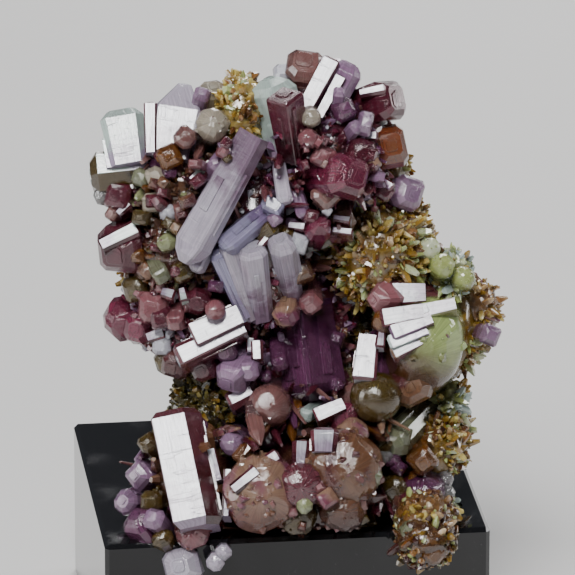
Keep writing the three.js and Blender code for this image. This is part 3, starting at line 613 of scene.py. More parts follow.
rightSide = {
    "lumps": [lump((12.4, -6, 3), (4.4, 4.4, 4.8), "olive")],
    "crystals": [
        dome((14.6, -4.2, -1), (13.1, -6.7, 12), 7.9, "lime", deep=10, point=2.8, roll=-8, facets=9),
        grown((15.4, -0.8, 2), (8.6, -1.2, 9.6), 3.2, "pink", corner=0.3, point=1.4, flat=0.4),
        lit((13.8, -0.4), (10.2, -0.6), 8.9, 2.3, 3, corner=0.12),
        lit((13.6, -2.2), (9.3, -3), 11, 1.9, 3.4, corner=0.14, flat=0.85),
        lit((16.8, -1.5), (12.4, -2.5), 10, 1.7, 3, corner=0.2, side="lime"),
        lit((14.4, -2.9), (10.3, -4.5), 11.6, 1.5, 2.6, "white", corner=0.1, side="lilac"),
        lit((13.9, -4), (10.1, -5.5), 11.8, 1.45, 2.6, corner=0.1, side="mint"),
        lit((13.3, -5.1), (10.4, -6.5), 12, 1.4, 2.6, "white", corner=0.1, side="beige"),
        grown((12.4, -2.6, 6), (9, -3.6, 10.6), 2, "amber", roll=26),
        lit((8, -4.6), (7.5, -9.2), 11.6, 2.4, 3.4, corner=(0.3, 0.1), flat=0.85, point=0.3),
        lit((9.35, -4.4), (9.2, -5.9), 11.2, 1, 2.4),
        grown((9.2, -4.8, 6), (8.9, -9.8, 11), 2.2, "purple", roll=30),
        dome((9.2, -10, 4), (8.7, -11.3, 14), 5.1, "olive", facets=0),
        grown((12.6, -8.8, 4), (12.3, -9.8, 11.6), 4.2, "brown", roll=24),
        grown((6.6, -10.6, 4), (6.3, -11, 10), 2.4, "dusty", roll=24),
    ],
}

middle = {
    "lumps": [lump((-1.6, -9, 4.4), (5, 5.2, 5), "wine"), lump((3, -4, 3), (3.6, 3.6, 6), "wine")],
    "crystals": [
        grown((1.3, -1.4, 5.4), (2.5, -11.4, 9.4), 5.2, "purple", corner=0.12, roll=45, point=1.4, flat=0.3),
        dome((-1.4, -11, 4), (-1.9, -12.1, 14.4), 4.4, "dusty", facets=7),
        grown((-2.2, -13, 5), (-2.4, -15, 12), 3.1, "purple", roll=20),
        grown((-3.4, -6, 7.4), (-6.1, -9.7, 12.6), 3.1, "lilac", point=0.9, flat=0.5),
        grown((-3, -6.4, 7), (-4, -8.7, 12.8), 2, "lilac", roll=14),
        lit((-3.6, -10.2), (-6, -11.4), 12.2, 2, 3, "lathLilac", flat=0.85),
        lit((-3, -7.3), (-3.1, -5.1), 11.4, 1.2, 2.6, "lathLilac", flat=0.3, both=True),
        lit((-3.8, -6.4), (-3.7, -4.9), 10.8, 0.8, 2.2, flat=0.3),
        grown((-1.1, -5.2, 7), (-0.7, -8, 11), 1.6, "purple", roll=10),
        grown((0.6, -11.2, 7), (0.7, -14.9, 11.6), 1.4, "lathLilac", roll=20),
        grown((0.3, -0.4, 6.4), (-0.3, -3.4, 10.8), 2.5, "beige", roll=20),
        grown((2.2, 0.4, 5), (2.3, -2, 9.8), 2.2, "pink", roll=32),
        lit((5.6, -11.5), (2.7, -12.8), 13.4, 1.5, 3.2, corner=0.1, flat=0.9, point=0.2),
        grown((7.2, -12, 6.6), (5.4, -13.1, 13), 2.8, "magenta", roll=26),
        grown((3.4, -11.6, 8), (1.7, -12.9, 12.8), 1.3, "mint", roll=12),
        grown((4.8, -8.4, 3), (5.2, -10.6, 8), 2.6, "wine", roll=30),
        *stubs((-4.6, 5), (-10, -3), 8, (1, 1.8), 41, ["wine", "lilac", "purple"], -2.4),
    ],
}

lowerLeft = {
    "lumps": [lump((-9.6, -19.6, 9.6), (4.4, 5.6, 6), "brown")],
    "crystals": [
        lit((-9.5, -23.8), (-11.95, -12.1), 17.2, 4.9, 5, corner=(0.05, 0.52), flat=0.78, point=0.7,
            both=True),
        grown((-8.4, -22, 11), (-9.2, -13.6, 11.4), 3.6, "brown", roll=34, flat=0.6),
        lit((-6.9, -19.2), (-7.75, -16), 16, 0.9, 2.6, flat=0.5),
        lit((-7.35, -22.7), (-7.4, -21.1), 18, 1.1, 2.6, flat=0.3),
        grown((-12.6, -17, 8), (-14.1, -15.4, 12.8), 1.9, "olive", roll=34, flat=0.3),
        grown((-11.8, -18.8, 8), (-15.3, -18.8, 13), 2.6, "lilac", roll=12, flat=0.4),
        grown((-12.2, -21, 10), (-13.8, -21.5, 16.6), 2.2, "olive", roll=20),
        grown((-13.6, -22, 10), (-16.5, -21.4, 15.2), 2.4, "lilac", roll=30, corner=0.45),
        grown((-11.6, -27.6, 14.4), (-15.3, -22.8, 17.2), 3, "purple", roll=24, flat=0.4),
        grown((-11, -25.8, 13), (-13.6, -22.9, 18.4), 2.1, "lilac", roll=10),
        grown((-11, -27.4, 14), (-12.7, -24.8, 18.6), 2, "olive", roll=18),
        dome((-9.3, -23.6, 11), (-9.6, -24.7, 19.6), 3.6, "pink"),
        grown((-9.2, -27.4, 12.6), (-10.8, -28, 19.6), 3.6, "lathLilac", corner=0.5, roll=34),
        grown((-6.6, -25.2, 11), (-6.4, -26.6, 19.2), 1.5, "lathLilac", roll=26, corner=0.45, flat=0.3),
        grown((-7.4, -26.2, 11), (-7.2, -27.6, 19.4), 1.7, "lathLilac", roll=40, corner=0.45, flat=0.3),
        dome((-5, -14.6, 9), (-5.6, -15.8, 15.6), 2.6, "lilac"),
        *stubs((-15, -8), (-28, -24.4), 10, (0.9, 1.6), 51, ["white", "lilac", "purple", "pink"]),
    ],
}

lowerDomes = {
    "lumps": [lump((1.2, -19.6, 9), (7.2, 7.6, 5.2), "brown")],
    "crystals": [
        dome((-2.4, -19.6, 8), (-2.7, -20.8, 20.4), 8.1, "beige", roll=10, point=2.1),
        lit((-5.5, -20.1), (-2.9, -18.1), 19.6, 1.5, 2.6, flat=0.6),
        lit((-3.3, -18.1), (-0.8, -16.6), 17.6, 1.6, 2.8, "lilac", flat=0.7),
        lit((-6.2, -22.8), (-5.9, -18), 18, 1, 3, flat=0.6),
        dome((5.6, -17, 6), (5.3, -18.8, 19.4), 8.8, "brown", deep=8.4, roll=24, point=2.3),
        lit((3.6, -16.3), (3.7, -13.8), 17.8, 2.8, 4.6, corner=0.36, flat=0.7),
        dome((6.4, -14, 8), (6.5, -14.9, 16), 3.4, "beige"),
        lit((1.3, -17.5), (1.5, -15), 17, 2.1, 3, flat=0.5),
        dome((1.4, -18.6, 12), (1.3, -20.2, 20.2), 4.8, "plum", roll=20, point=1.3),
        grown((1.7, -21, 14), (1.7, -21.9, 20.6), 1.5, "paleGreen", roll=30, corner=0.45, flat=0.3),
        dome((5.6, -21, 10), (5.5, -22.5, 19.8), 4.8, "brown"),
        dome((0.9, -21.6, 10), (0.9, -23.1, 19.2), 4.2, "olive", roll=30),
        dome((8.2, -18, 11), (8.5, -19, 18), 2.1, "greyGreen", deep=2.5),
        grown((4, -20.4, 14), (4, -21.2, 20.4), 1.8, "beige", roll=24),
        grown((-4.8, -16.6, 11), (-4.3, -16.8, 16.6), 1.9, "amber", roll=24),
        *stubs((0.4, 8), (-24, -19), 9, (0.8, 1.6), 71, ["beige", "pink", "brown", "olive"]),
    ],
}

lowerRight = {
    "lumps": [
        lump((12.6, -17.6, 6.4), (3.2, 4, 5), "olive"), lump((13.8, -23, 15), (2.8, 4.4, 2.6), "rust"),
        lump((13.9, -25.4, 18.4), (2.9, 2.4, 2.5), "rust"),
    ],
    "crystals": [
        grown((13.9, -12, 5.4), (10, -16, 12.8), 3.4, "greyGreen", deep=2.8, point=1, flat=0.5),
        grown((12.8, -13.4, 7), (11.2, -15.4, 12.8), 1.8, "greyGreen", roll=20),
        grown((11.4, -16, 7), (10.3, -17.1, 13), 1.8, "purple", roll=20),
        grown((13.2, -15.6, 7), (13.6, -17.6, 13.6), 2.6, "amber", roll=26),
        dome((14.6, -18.2, 6), (13, -21.9, 14.6), 4.8, "purple", roll=20),
        grown((11.2, -19, 8), (10.6, -20.7, 14), 2.8, "olive", roll=34),
        grown((14.2, -19, 7), (16, -19.2, 11.4), 1.6, "glass", roll=12),
        grown((14.6, -20.4, 8), (16.1, -20.7, 12.4), 1.7, "glass", roll=30),
        grown((14, -21.8, 8), (15.6, -22.3, 12.4), 1.4, "purple", roll=20),
        grown((13.8, -23, 8), (13.2, -24.2, 15.4), 2.2, "mint", roll=8),
        dome((13.4, -23.4, 14), (12.4, -24.8, 19.6), 2.8, "greyGreen", roll=20),
        dome((14.4, -23, 12), (15.4, -24, 17.4), 2.4, "limeGrain"),
        grown((14, -25.4, 17), (14.8, -26.9, 20.8), 2.2, "amber", roll=30),
        *stubs((10, 16), (-24, -15), 14, (0.8, 1.7), 81, ["olive", "amber", "purple", "glass"], -3),
    ],
}

matrixRock = {
    "lumps": [
        lump((-1.5, 4.6, -4.2), (14.6, 6.6, 15), "gold"), lump((8.8, 4.4, 1.8), (5, 6.6, 6), "gold"),
        lump((-4.7, 17.6, 4), (2.5, 4.2, 3.2), "gold"), lump((11.4, 3.2, 2), (3, 4.6, 3.6), "gold"),
        lump((16, 1.2, 1), (2.1, 3.6, 2), "limeGrain"), lump((16.2, -4, -0.6), (3.2, 5.4, 4.6), "gold"),
        lump((16.2, -11.6, 4.6), (1.5, 2.6, 2.2), "limeGrain"),
        lump((14.6, -15.2, 5), (3.2, 6, 3.6), "gold"),
        lump((0.6, -17, 1.4), (13.6, 9.4, 8.4), "moss"), lump((-8.2, -11.8, 6), (3, 4.6, 3.6), "moss"),
        lump((3.4, -7.4, -2.8), (11.6, 8, 10), "moss"), lump((10.6, 11.2, 1), (1.4, 3, 2.4), "gold"),
        lump((18.4, -2.6, -1), (2.4, 3, 3.4), "rust"), lump((15.6, -23, 9), (1.8, 3, 2.4), "limeGrain"),
        lump((-7, 10.4, -8.6), (4.6, 3.4, 5.4), "gold"), lump((6.4, 1.4, -8.8), (5.4, 3.6, 6), "gold"),
        lump((-4.4, -7, -8.8), (6.4, 3.6, 5), "moss"),
    ],
    "crystals": [
        dome((14.8, 1.4, 2), (15.6, 2.4, 6.4), 2.7, "limeGrain"),
        dome((16.8, 0.4, 2), (17.9, 1.1, 5.6), 2.5, "limeGrain", roll=30),
        dome((13.8, 2.6, 2), (14.2, 4.3, 5.6), 2.4, "limeGrain", roll=20),
        grown((19.4, -4.6, 3), (20.5, -4.8, 6), 2, "lilac", roll=20),
    ],
}


# Meshes

def newBuild():
    names = ("points", "faces", "tints", "tone", "seed", "along", "around", "rise")
    return {**{name: [] for name in names}, "smooth": set()}


# A four-sided section with cut corners, each edge bevelled
def outlineOf(halfWide, halfDeep, shares, edge):
    corners = []
    for (x, y), share in zip(((-1, 1), (1, 1), (1, -1), (-1, -1)), shares):
        sideways = Vector((x * (halfWide - share), y * halfDeep))
        upright = Vector((x * halfWide, y * (halfDeep - share)))
        pair = [upright, sideways] if x * y < 0 else [sideways, upright]  # clockwise, seen from the tip
        corners.extend([pair[0]] if share < 0.02 else pair)
    points = []
    for index, corner in enumerate(corners):
        before = corners[index - 1] - corner
        after = corners[(index + 1) % len(corners)] - corner
        points.append(corner + before.normalized() * min(edge, before.length * 0.3))
        points.append(corner + after.normalized() * min(edge, after.length * 0.3))
    return points


def between(first, second, share):
    return tuple(a + (b - a) * share for a, b in zip(first, second))


# Distance along the crystal and scale of each ring
def ringsOf(crystal, length, halfWide, edge):
    point = min(crystal.get("point", crystal["wide"] * 0.27), length * 0.6)
    flat = crystal.get("flat", 0.5)
    if crystal.get("both"):
        start = [(0, flat), (point, 1)]
    else:
        start = [(0, 0.85)]
    if crystal.get("bright"):
        end = [(length - point, 1), (length, flat)]
    else:
        shoulder = (length - point * 0.5, 0.64 + 0.36 * flat)
        end = [(length - point * 1.15, 1), shoulder, (length, flat * 0.9)]
    plain = start + end
    rings = [plain[0]]
    for before, here, after in zip(plain, plain[1:], plain[2:]):
        toBefore = min(edge / max(here[0] - before[0], 1e-6), 0.3)
        toAfter = min(edge / max(after[0] - here[0], 1e-6), 0.3)
        rings.append(between(here, before, toBefore))
        rings.append(between(here, after, toAfter))
    rings.append((length - edge * 0.5, flat))
    rings.append((length, max(flat - edge / halfWide, flat * 0.7)))
    return rings


growth = {
    "edge": 0.022,  # bevel on every edge
    "corner": (0.26, 0.5),
    "mosaic": 5,  # small crystals on a rounded end, for each millimetre of its width
    "bigFrom": 3,  # width from which a rounded end has the second of the two counts
    "facets": (14, 46),
    "columns": (28, 56),
    "stepsFrom": 2.2,  # width from which the faces carry parallel growth
    "stepOut": (0.05, 0.16),
    "stepDeep": 0.3,
}


# A rounded crystal: half an egg cut flat by many facets
def addDome(build, crystal, axes, chance):
    axis, length, face, side = axes
    halfWide = crystal["wide"] / 2
    halfDeep = crystal.get("deep", crystal["wide"]) / 2
    high = min(crystal["point"] * 1.5, length * 0.6)
    centre = crystal["root"] + axis * (length - high)
    half = Vector((halfWide, halfDeep, high))
    big = crystal["wide"] > growth["bigFrom"]
    facets = crystal.get("facets", growth["facets"][big])
    planes = []
    for index in range(facets):
        turn = index * 2.4 + chance.uniform(-0.5, 0.5)
        level = (index + 0.5) / facets
        flat = math.sqrt(1 - level * level)
        way = Vector((flat * math.cos(turn), flat * math.sin(turn), level))
        support = Vector((way.x * half.x, way.y * half.y, way.z * half.z)).length
        planes.append((way, support * chance.uniform(0.91, 0.98)))
    columns = growth["columns"][big]
    rows = columns // 3
    first = len(build["points"])
    seed = chance.random()
    for row in range(rows + 1):
        turn = math.pi / 2 * (row - 1) / (rows - 1)
        for column in range(columns):
            around = -2 * math.pi * column / columns
            spot = Vector((math.cos(around) * halfWide, math.sin(around) * halfDeep, 0))
            if row == 0:  # the root
                spot = spot * 0.85
                spot.z = high - length
            else:
                spot = Vector((spot.x * math.cos(turn), spot.y * math.cos(turn), high * math.sin(turn)))
                reach = min([1] + [limit / way.dot(spot) for way, limit in planes if way.dot(spot) > 0.01])
                spot = spot * reach
            build["points"].append(centre + side * spot.x + face * spot.y + axis * spot.z)
            build["seed"].append(seed)
            build["along"].append(spot.z)
            build["around"].append(around * halfWide)
            build["rise"].append(0.45 + 0.5 * max(spot.z, 0) / high)
    for row in range(rows):
        low = first + row * columns
        for column in range(columns):
            after = (column + 1) % columns
            build["faces"].append((low + column, low + columns + column, low + columns + after, low + after))
            build["tints"].append(crystal["tint"])
            build["tone"].append(1)
    build["faces"].append(tuple(range(first, first + columns)))
    build["tints"].append(crystal["tint"])
    build["tone"].append(1)
    smalls = int(growth["mosaic"] * crystal["wide"]) if "facets" not in crystal else crystal["facets"]
    for _ in range(smalls):  # small crystals grown on the rounded end
        row = int(1 + (rows - 1) * chance.uniform(0.05, 1))
        spot = build["points"][first + row * columns + chance.randrange(columns)]
        way = (axis * 0.5 + (spot - centre).normalized()).normalized()
        wide = crystal["wide"] * (0.06 + 0.16 * chance.random() ** 2)
        tint = chance.choice([crystal["tint"]] * 4 + ["dusty"])
        addSmall(build, spot, way, wide, wide * 1.1, tint, chance, chance.choice((4, 6, 8)), 0.8)


# One closed body, with the same outline at every ring
def addRings(build, root, axis, side, face, outline, rings, tint, seed,
             shift=0.0, drift=(0, 0), sideTint=None):
    chance = random.Random(int(seed * 1e6))
    front = max(spot.y for spot in outline) * 0.98
    first = len(build["points"])
    count = len(outline)
    around = [0.0]
    for index in range(1, count):
        around.append(around[-1] + (outline[index] - outline[index - 1]).length)
    whole = rings[-1][0]
    for distance, scale in rings:
        late = distance / whole
        for index, spot in enumerate(outline):
            x = spot.x * scale + shift + drift[0] * late * late
            y = spot.y * scale + drift[1] * late * late
            build["points"].append(root + axis * distance + side * x + face * y)
            build["seed"].append(seed)
            build["along"].append(distance)
            build["around"].append(around[index])
            build["rise"].append(late)
    faceTone = [chance.uniform(0.72, 1.2) for _ in range(count)]
    for ring in range(len(rings) - 1):
        low = first + ring * count
        for index in range(count):
            after = (index + 1) % count
            build["faces"].append((low + index, low + count + index, low + count + after, low + after))
            # on a bright crystal the front face keeps the pale tint, a painted highlight, and the other
            # faces take the side tint
            isFront = outline[index].y > front and outline[after].y > front and rings[ring + 1][1] > 0.97
            build["tints"].append(sideTint if sideTint and not isFront else tint)
            build["tone"].append(faceTone[index] * (1 + 0.12 * math.sin(ring * 2.4 + index)))
    build["faces"].append(tuple(range(first, first + count)))
    last = first + (len(rings) - 1) * count
    build["faces"].append(tuple(reversed(range(last, last + count))))
    build["tints"].extend([tint, tint])
    build["tone"].extend([1, chance.uniform(0.8, 1.25)])


# Along the crystal, its length, and the ways that its front and its side look
def axesOf(crystal):
    axis = crystal["tip"] - crystal["root"]
    length = axis.length
    axis = axis / length
    face = (brightWay - axis * brightWay.dot(axis)).normalized()
    face = Matrix.Rotation(math.radians(crystal.get("roll", 0)), 3, axis) @ face
    return axis, length, face, axis.cross(face)


def addCrystal(build, crystal, chance):
    if crystal.get("rounded"):
        addDome(build, crystal, axesOf(crystal), chance)
        return
    axis, length, face, side = axesOf(crystal)
    wide = crystal["wide"]
    halfWide = wide / 2
    halfDeep = crystal.get("deep", wide) / 2
    corner = crystal.get("corner", chance.uniform(*growth["corner"]))
    left, right = corner if isinstance(corner, tuple) else (corner, corner)
    least = min(halfWide, halfDeep)
    shift = (right - left) * least / 2
    shares = [share * least * chance.uniform(0.7, 1.25) for share in (left, right, left, right)]
    edge = growth["edge"] * min(1, wide / 2)
    outline = outlineOf(halfWide, halfDeep, shares, edge)
    rings = ringsOf(crystal, length, halfWide, edge)
    seed = chance.random()
    tint = crystal["tint"]
    # a bright crystal's front face keeps its pale tint, a painted highlight; its other faces and growth bars
    # take the side tint
    other = crystal.get("side") if crystal.get("bright") else None
    addRings(build, crystal["root"], axis, side, face, outline, rings, tint, seed, shift, (0, 0), other)
    if wide < growth["stepsFrom"]:
        return
    point = min(crystal.get("point", wide * 0.27), length * 0.6)
    deep = growth["stepDeep"]
    for _ in range(3 if wide < 4 else 6):  # parallel growth standing a little proud of the faces
        out = chance.uniform(*growth["stepOut"])
        width = wide * chance.uniform(0.12, 0.34)
        where = chance.choice(["left", "right", "front", "front"])
        if crystal.get("bright") and where == "front":
            where = "right"
        reach = length - point * chance.uniform(0.9, 1.6) - length * chance.uniform(0, 0.35)
        start = chance.uniform(0, 0.4) * length
        if where == "front":
            room = max(halfWide * 0.8 - width / 2 - left * least, 0.05)
            centre = side * (chance.uniform(-room, room) + shift) + face * (halfDeep - deep + out)
        else:
            sign = -1 if where == "left" else 1
            room = max(halfDeep * 0.7 - width / 2, 0.05)
            centre = side * (sign * (halfWide - deep + out) + shift) + face * chance.uniform(-room, room)
        if reach - start < 0.5:
            continue
        halves = (width / 2, deep) if where == "front" else (deep, width / 2)
        small = outlineOf(*halves, [0, 0, 0, 0], 0.03)
        tall = reach - start
        steps = [(0, 0.9), (tall - 0.12, 1), (tall, 0.86)]
        bar = crystal["root"] + centre + axis * start
        addRings(build, bar, axis, side, face, small, steps, other or tint, seed)
    flatWide = halfWide * crystal.get("flat", 0.5)
    if flatWide > 0.5:  # terraces on the end face
        for _ in range(2):
            share = chance.uniform(0.4, 0.75)
            plate = outlineOf(flatWide * share, flatWide * share, [0.3 * flatWide * share] * 4, 0.03)
            slip = side * chance.uniform(-0.2, 0.2) * flatWide
            slip += face * chance.uniform(-0.2, 0.2) * flatWide
            start = crystal["tip"] + side * shift + slip - axis * 0.2
            high = 0.2 + chance.uniform(0.05, 0.14)
            steps = [(0, 1), (high - 0.04, 1), (high, 0.93)]
            addRings(build, start, axis, side, face, plate, steps, tint, seed)


def insideCrystal(spot, crystal, axes, margin):
    axis, length, face, side = axes
    offset = spot - crystal["root"]
    distance = offset.dot(axis)
    if distance < -margin or distance > length + margin:
        return False
    halfWide = crystal["wide"] / 2
    halfDeep = crystal.get("deep", crystal["wide"]) / 2
    return abs(offset.dot(side)) < halfWide + margin and abs(offset.dot(face)) < halfDeep + margin


def insideLump(spot, rock, grow=0.0):
    offset = spot - rock["middle"]
    x = offset.dot(viewRight) / (rock["half"][0] + grow)
    y = offset.dot(viewOut) / (rock["half"][1] + grow)
    z = offset.z / (rock["half"][2] + grow)
    return x * x + y * y + z * z < 1


def lumpPoint(rock, chance):
    level = chance.uniform(-1, 1)
    turn = chance.uniform(0, 2 * math.pi)
    flat = math.sqrt(1 - level * level)
    unit = (flat * math.cos(turn), flat * math.sin(turn), level)
    half = rock["half"]
    spot = (rock["middle"] + viewRight * (unit[0] * half[0]) + viewOut * (unit[1] * half[1])
            + Vector((0, 0, unit[2] * half[2])))
    normal = (viewRight * (unit[0] / half[0]) + viewOut * (unit[1] / half[1])
              + Vector((0, 0, unit[2] / half[2]))).normalized()
    return spot, normal


base = {"rows": 24, "columns": 40, "swell": ((0.5, 0.6), (1.7, 0.5))}  # scale and height of each swell


# A rough egg of rock
def addBase(build, rock, seed, rough):
    firstFace = len(build["faces"])
    rows = base["rows"]
    columns = base["columns"]
    first = len(build["points"])
    for row in range(rows + 1):
        level = math.cos(math.pi * row / rows)
        flat = math.sin(math.pi * row / rows)
        for column in range(columns):
            turn = 2 * math.pi * column / columns
            unit = Vector((flat * math.cos(turn), flat * math.sin(turn), level))
            half = rock["half"]
            spot = (rock["middle"] + viewRight * (unit.x * half[0]) + viewOut * (unit.y * half[1])
                    + Vector((0, 0, unit.z * half[2])))
            swell = sum(noise.noise(spot * scale) * height for scale, height in base["swell"])
            spot += (spot - rock["middle"]).normalized() * (swell * rough)
            if spot.y > overhangFrom:
                spot.z = max(spot.z, clearance["base"])
            build["points"].append(spot)
            build["seed"].append(seed)
            build["along"].append(spot.z)
            build["around"].append(turn * 4)
            build["rise"].append(0.45)
    for row in range(rows):
        low = first + row * columns
        for column in range(columns):
            after = (column + 1) % columns
            build["faces"].append((low + column, low + columns + column, low + columns + after, low + after))
            build["tints"].append(rock["tint"])
            build["tone"].append(0.7 + 0.4 * noise.noise(build["points"][low + column] * 2.2))
    build["smooth"].update(range(firstFace, len(build["faces"])))


# One small crystal or grain
def addSmall(build, spot, way, wide, long, tint, chance, sides=6, sunk=0.45):
    side = way.orthogonal().normalized()
    side = Matrix.Rotation(chance.uniform(0, 6.28), 3, way) @ side
    face = way.cross(side)
    turnStart = chance.uniform(0, 1)
    squash = chance.uniform(0.6, 1)
    outline = []
    for index in range(sides):
        turn = -2 * math.pi * (index + turnStart + chance.uniform(-0.12, 0.12)) / sides
        reach = wide / 2 * chance.uniform(0.8, 1.12)
        outline.append(Vector((math.cos(turn), math.sin(turn) * squash)) * reach)
    flat = chance.uniform(0.12, 0.6)
    shoulder = long * chance.uniform(0.55, 0.85)
    drift = (chance.uniform(-0.25, 0.25) * wide, chance.uniform(-0.25, 0.25) * wide)
    rings = [(0, 0.7), (long * 0.4, 1), (shoulder, chance.uniform(0.8, 1)), (long, flat)]
    root = spot - way * long * sunk
    addRings(build, root, way, side, face, outline, rings, tint, chance.random(), 0, drift)


# Small crystals or grains all over a lump
def scatter(build, rock, others, growing, chance):
    half = rock["half"]
    mean = (half[0] * half[1] * half[2]) ** (1 / 3)
    least, most = growing["size"]
    for _ in range(int(4 * math.pi * mean * mean * growing["perArea"])):
        spot, normal = lumpPoint(rock, chance)
        overBlock = spot.y > overhangFrom
        if overBlock and spot.z < clearance["root"]:
            continue
        if any(insideLump(spot, other, -0.3) for other in others if other is not rock):
            continue
        if any(insideCrystal(spot, crystal, axes, 0.1) for crystal, axes in bigCrystals):
            continue
        lean = Vector((chance.gauss(0, 0.5), chance.gauss(0, 0.5), chance.gauss(0, 0.5)))
        way = (normal + lean).normalized()
        wide = least + (most - least) * chance.random() ** 2
        long = wide * chance.uniform(*growing["stretch"])
        if overBlock and min(spot.z + way.z * long, spot.z - wide * 0.5 + 0.1) < clearance["tip"]:
            continue
        if not overBlock and spot.z < clearance["front"] and spot.y + way.y * long > overhangFrom:
            continue
        tint = chance.choice(growing["tints"][rock["tint"]])
        addSmall(build, spot, way, wide, long, tint, chance, chance.choice(growing["sides"]))


# Small crystals between the big ones, on a stretch of the front
def addCrust(build, crust, chance):
    for _ in range(crust["count"]):
        across = chance.uniform(*crust["across"])
        up = chance.uniform(*crust["up"])
        front = frontOut(across, up)
        spot = place((across, up, front - chance.uniform(*crust["below"])))
        if front < 1 or any(insideCrystal(spot, crystal, axes, 0.1) for crystal, axes in bigCrystals):
            continue
        lean = Vector((chance.gauss(0, 0.4), chance.gauss(0, 0.3), chance.gauss(0, 0.4)))
        way = (viewOut + Vector((across * 0.03, 0, 0.15)) + lean).normalized()
        foot = spot - way * crust["long"] * 0.9
        if not any(insideLump(foot, rock) for rock in everyLump):
            if not any(insideCrystal(foot, crystal, axes, -0.3) for crystal, axes in bigCrystals):
                continue
        least, most = crust["size"]
        wide = least + (most - least) * chance.random() ** 1.6
        tint = chance.choice(crust["tints"])
        addSmall(build, spot, way, wide, crust["long"], tint, chance, chance.choice((4, 6, 8)), 0.9)


materials = {name: crystalStone(name) for name in looks}
materials.update({name: grainStone(name) for name in grainLooks})
print("materials made")


shareTriangles = 185000  # a piece with more is made as several, each of whole crystals


# First and last point and face of each piece that a build is made as
def sharesOf(build):
    shares = []
    pointFrom = 0
    faceFrom = 0
    highest = -1
    triangles = 0
    for index, face in enumerate(build["faces"]):
        if triangles > shareTriangles and min(face) > highest:  # a new body starts here
            shares.append((pointFrom, highest + 1, faceFrom, index))
            pointFrom = highest + 1
            faceFrom = index
            triangles = 0
        highest = max(highest, *face)
        triangles += len(face) - 2
    shares.append((pointFrom, len(build["points"]), faceFrom, len(build["faces"])))
    return shares


def finishPiece(name, build, replaced):
    for order, share in enumerate(sharesOf(build)):
        if order == 0:
            finishShare(name, build, share, replaced)
        else:
            finishShare(name + "Grains" + str(order), build, share, [])


def finishShare(name, build, share, replaced):
    pointFrom, pointTo, faceFrom, faceTo = share
    faces = [[corner - pointFrom for corner in face] for face in build["faces"][faceFrom:faceTo]]
    tints = build["tints"][faceFrom:faceTo]
    mesh = bpy.data.meshes.new(name)
    mesh.from_pydata([point * 0.001 for point in build["points"][pointFrom:pointTo]], [], faces)
    used = sorted(set(tints))
    for tint in used:
        mesh.materials.append(materials[tint])
    lookup = {tint: index for index, tint in enumerate(used)}
    mesh.polygons.foreach_set("material_index", [lookup[tint] for tint in tints])
    for key in ("seed", "along", "around", "rise"):
        data = mesh.attributes.new(key, "FLOAT", "POINT")
        data.data.foreach_set("value", build[key][pointFrom:pointTo])
    mesh.polygons.foreach_set("use_smooth", [index in build["smooth"] for index in range(faceFrom, faceTo)])
    mesh.attributes.new("tone", "FLOAT", "FACE").data.foreach_set("value", build["tone"][faceFrom:faceTo])
    mesh.update()
    outward = bmesh.new()  # every closed body's faces turned outward
    outward.from_mesh(mesh)
    bmesh.ops.recalc_face_normals(outward, faces=outward.faces)
    outward.to_mesh(mesh)
    outward.free()
    piece = bpy.data.objects.new(name, mesh)
    bpy.context.collection.objects.link(piece)
    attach(piece, "root")
    if replaced:
        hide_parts(*replaced)
    print(name, "triangles", sum(len(face) - 2 for face in faces))


druse = {
    "perArea": 3.0,
    "size": (0.3, 1.3),
    "sides": (4, 6, 6, 8),
    "stretch": (1.0, 1.9),
    "rough": 0.8,
    "tints": {
        "wine": ["wine", "wine", "purple", "dusty", "pink", "lilac", "brown", "magenta", "white"],
        "purple": ["purple", "wine", "lilac", "dusty"],
        "brown": ["brown", "wine", "beige", "olive", "dusty", "brown", "amber", "paleGreen"],
        "olive": ["olive", "amber", "brown", "glass", "beige"],
        "rust": ["rust", "gold", "amber", "olive", "limeGrain", "brown"],
    },
}
diopside = {
    "perArea": 5.0,
    "size": (0.25, 1.1),
    "sides": (4, 4, 5, 6),
    "stretch": (0.9, 3),
    "rough": 0.9,
    "tints": {
        "gold": ["gold", "gold", "amber", "rust", "gold", "limeGrain"],
        "moss": ["moss", "moss", "gold", "olive", "moss"],
        "limeGrain": ["limeGrain", "mint", "limeGrain", "gold"],
        "rust": ["rust", "gold", "beige", "rust"],
    },
}
upperParts = [laths, upperRight, upperLeft, backs, leftSide, middle]
allParts = [*upperParts, rightSide, lowerLeft, lowerDomes, lowerRight]
bigCrystals = [(crystal, axesOf(crystal)) for part in allParts for crystal in part["crystals"]
               if crystal["wide"] >= 1.5]
stoneLumps = [rock for part in allParts for rock in part["lumps"]]
everyLump = stoneLumps + matrixRock["lumps"]

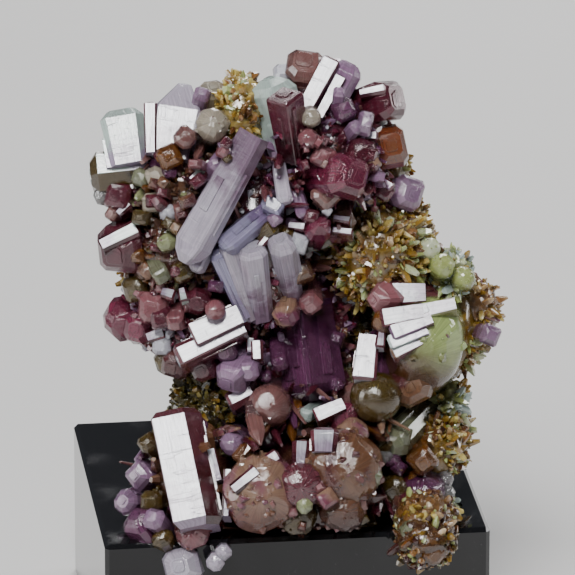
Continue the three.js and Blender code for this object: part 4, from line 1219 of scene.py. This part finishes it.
crusts = {
    "upperCrystals": [
        {
            "across": (-15.4, -5), "up": (0, 13.6), "count": 460,
            "size": (0.5, 1.6), "below": (0.2, 4), "long": 4,
            "tints": ["brown", "wine", "amber", "brown", "olive", "dusty", "paleGreen", "beige", "wine"],
        },
        {
            "across": (-16, -4), "up": (-9, 1), "count": 240,
            "size": (0.5, 1.5), "below": (0.2, 4), "long": 4,
            "tints": ["wine", "magenta", "wine", "pink", "purple", "brown", "lilac"],
        },
        {
            "across": (-5, 5), "up": (-14, 8), "count": 300,
            "size": (0.5, 1.5), "below": (1.6, 5), "long": 4,
            "tints": ["wine", "purple", "wine", "brown", "dusty", "lilac", "olive"],
        },
        {
            "across": (-2, 10), "up": (8, 16), "count": 300,
            "size": (0.5, 1.5), "below": (0.2, 4), "long": 4,
            "tints": ["wine", "pink", "magenta", "purple", "brown", "wine", "lilac", "dusty"],
        },
        {
            "across": (0, 9), "up": (16, 20), "count": 160,
            "size": (0.5, 1.5), "below": (2.6, 6), "long": 4,
            "tints": ["wine", "pink", "purple", "brown", "wine", "lilac", "dusty"],
        },
    ],
    "domeCrystals": [
        {
            "across": (-14, 12), "up": (-24, -14), "count": 700,
            "size": (0.5, 2), "below": (0.2, 5), "long": 5,
            "tints": ["brown", "wine", "beige", "olive", "brown", "dusty", "amber"],
        },
    ],
    "lowerLeftCrystals": [
        {
            "across": (-17, -8), "up": (-27, -13), "count": 300,
            "size": (0.5, 1.6), "below": (0, 5), "long": 5,
            "tints": ["brown", "wine", "lilac", "purple", "dusty", "amber"],
        },
    ],
}
pieces = [
    ("upperCrystals", upperParts, "vesuvianite", "upper_crystals"),
    ("lowerLeftCrystals", [lowerLeft], "vesuvianite", "lower_left_crystals"),
    ("rightCrystals", [rightSide], "green_vesuvianite", "right_crystals"),
    ("domeCrystals", [lowerDomes], "brown_vesuvianite", "lower_dome_crystals"),
    ("lowerRightCrystals", [lowerRight], "brown_vesuvianite", "lower_right_crystals"),
]
for order, (name, parts, slot, node) in enumerate(pieces):
    chance = random.Random(100 + order)
    build = newBuild()
    for part in parts:
        for crystal in part["crystals"]:
            addCrystal(build, crystal, chance)
        for rock in part["lumps"]:
            addBase(build, rock, chance.random(), druse["rough"])
            scatter(build, rock, stoneLumps, druse, chance)
    for crust in crusts.get(name, []):
        addCrust(build, crust, chance)
    finishPiece(name, build, [node])

chance = random.Random(7)
build = newBuild()
for crystal in matrixRock["crystals"]:
    addCrystal(build, crystal, chance)
for rock in matrixRock["lumps"]:
    addBase(build, rock, chance.random(), diopside["rough"])
    scatter(build, rock, everyLump, diopside, chance)
finishPiece("diopsideRock", build, ["diopside_matrix"])

# Polished black block

block = {
    "colour": (0.006, 0.006, 0.007),
    "dust": (0.1, 0.1, 0.1),
    "roughness": (0.03, 0.12),
}
nodes = Nodes("blackPolished")
spot = nodes.millimetres()
haze = nodes.span(nodes.noise(spot, 0.12, 4, 0.6), 0.45, 0.75, *block["roughness"])
specks = nodes.span(nodes.noise(spot, 4.5, 2, 0.5), 0.71, 0.76, 0, 0.5)
colour = nodes.blend(specks, block["colour"], block["dust"])
nodes.set(Base_Color=colour, Roughness=haze, IOR=1.49)
nodes.set(Coat_Weight=0.3, Coat_Roughness=0.03)
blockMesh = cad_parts["display_block"].data
blockMesh.materials.clear()
blockMesh.materials.append(nodes.material)

# Pale floor

bpy.ops.mesh.primitive_plane_add(size=3, location=(0, 0, 0))
floor = bpy.context.object
floor.name = "floor"
nodes = Nodes("paleFloor")
grain = nodes.noise(nodes.millimetres(), 0.02, 3)
pale = studio["floorColour"]
nodes.set(Base_Color=nodes.blend(nodes.span(grain, 0.3, 0.7, 0, 0.12), pale, tuple(v * 0.9 for v in pale)))
nodes.set(Roughness=0.75)
floor.data.materials.append(nodes.material)

print("scene done")
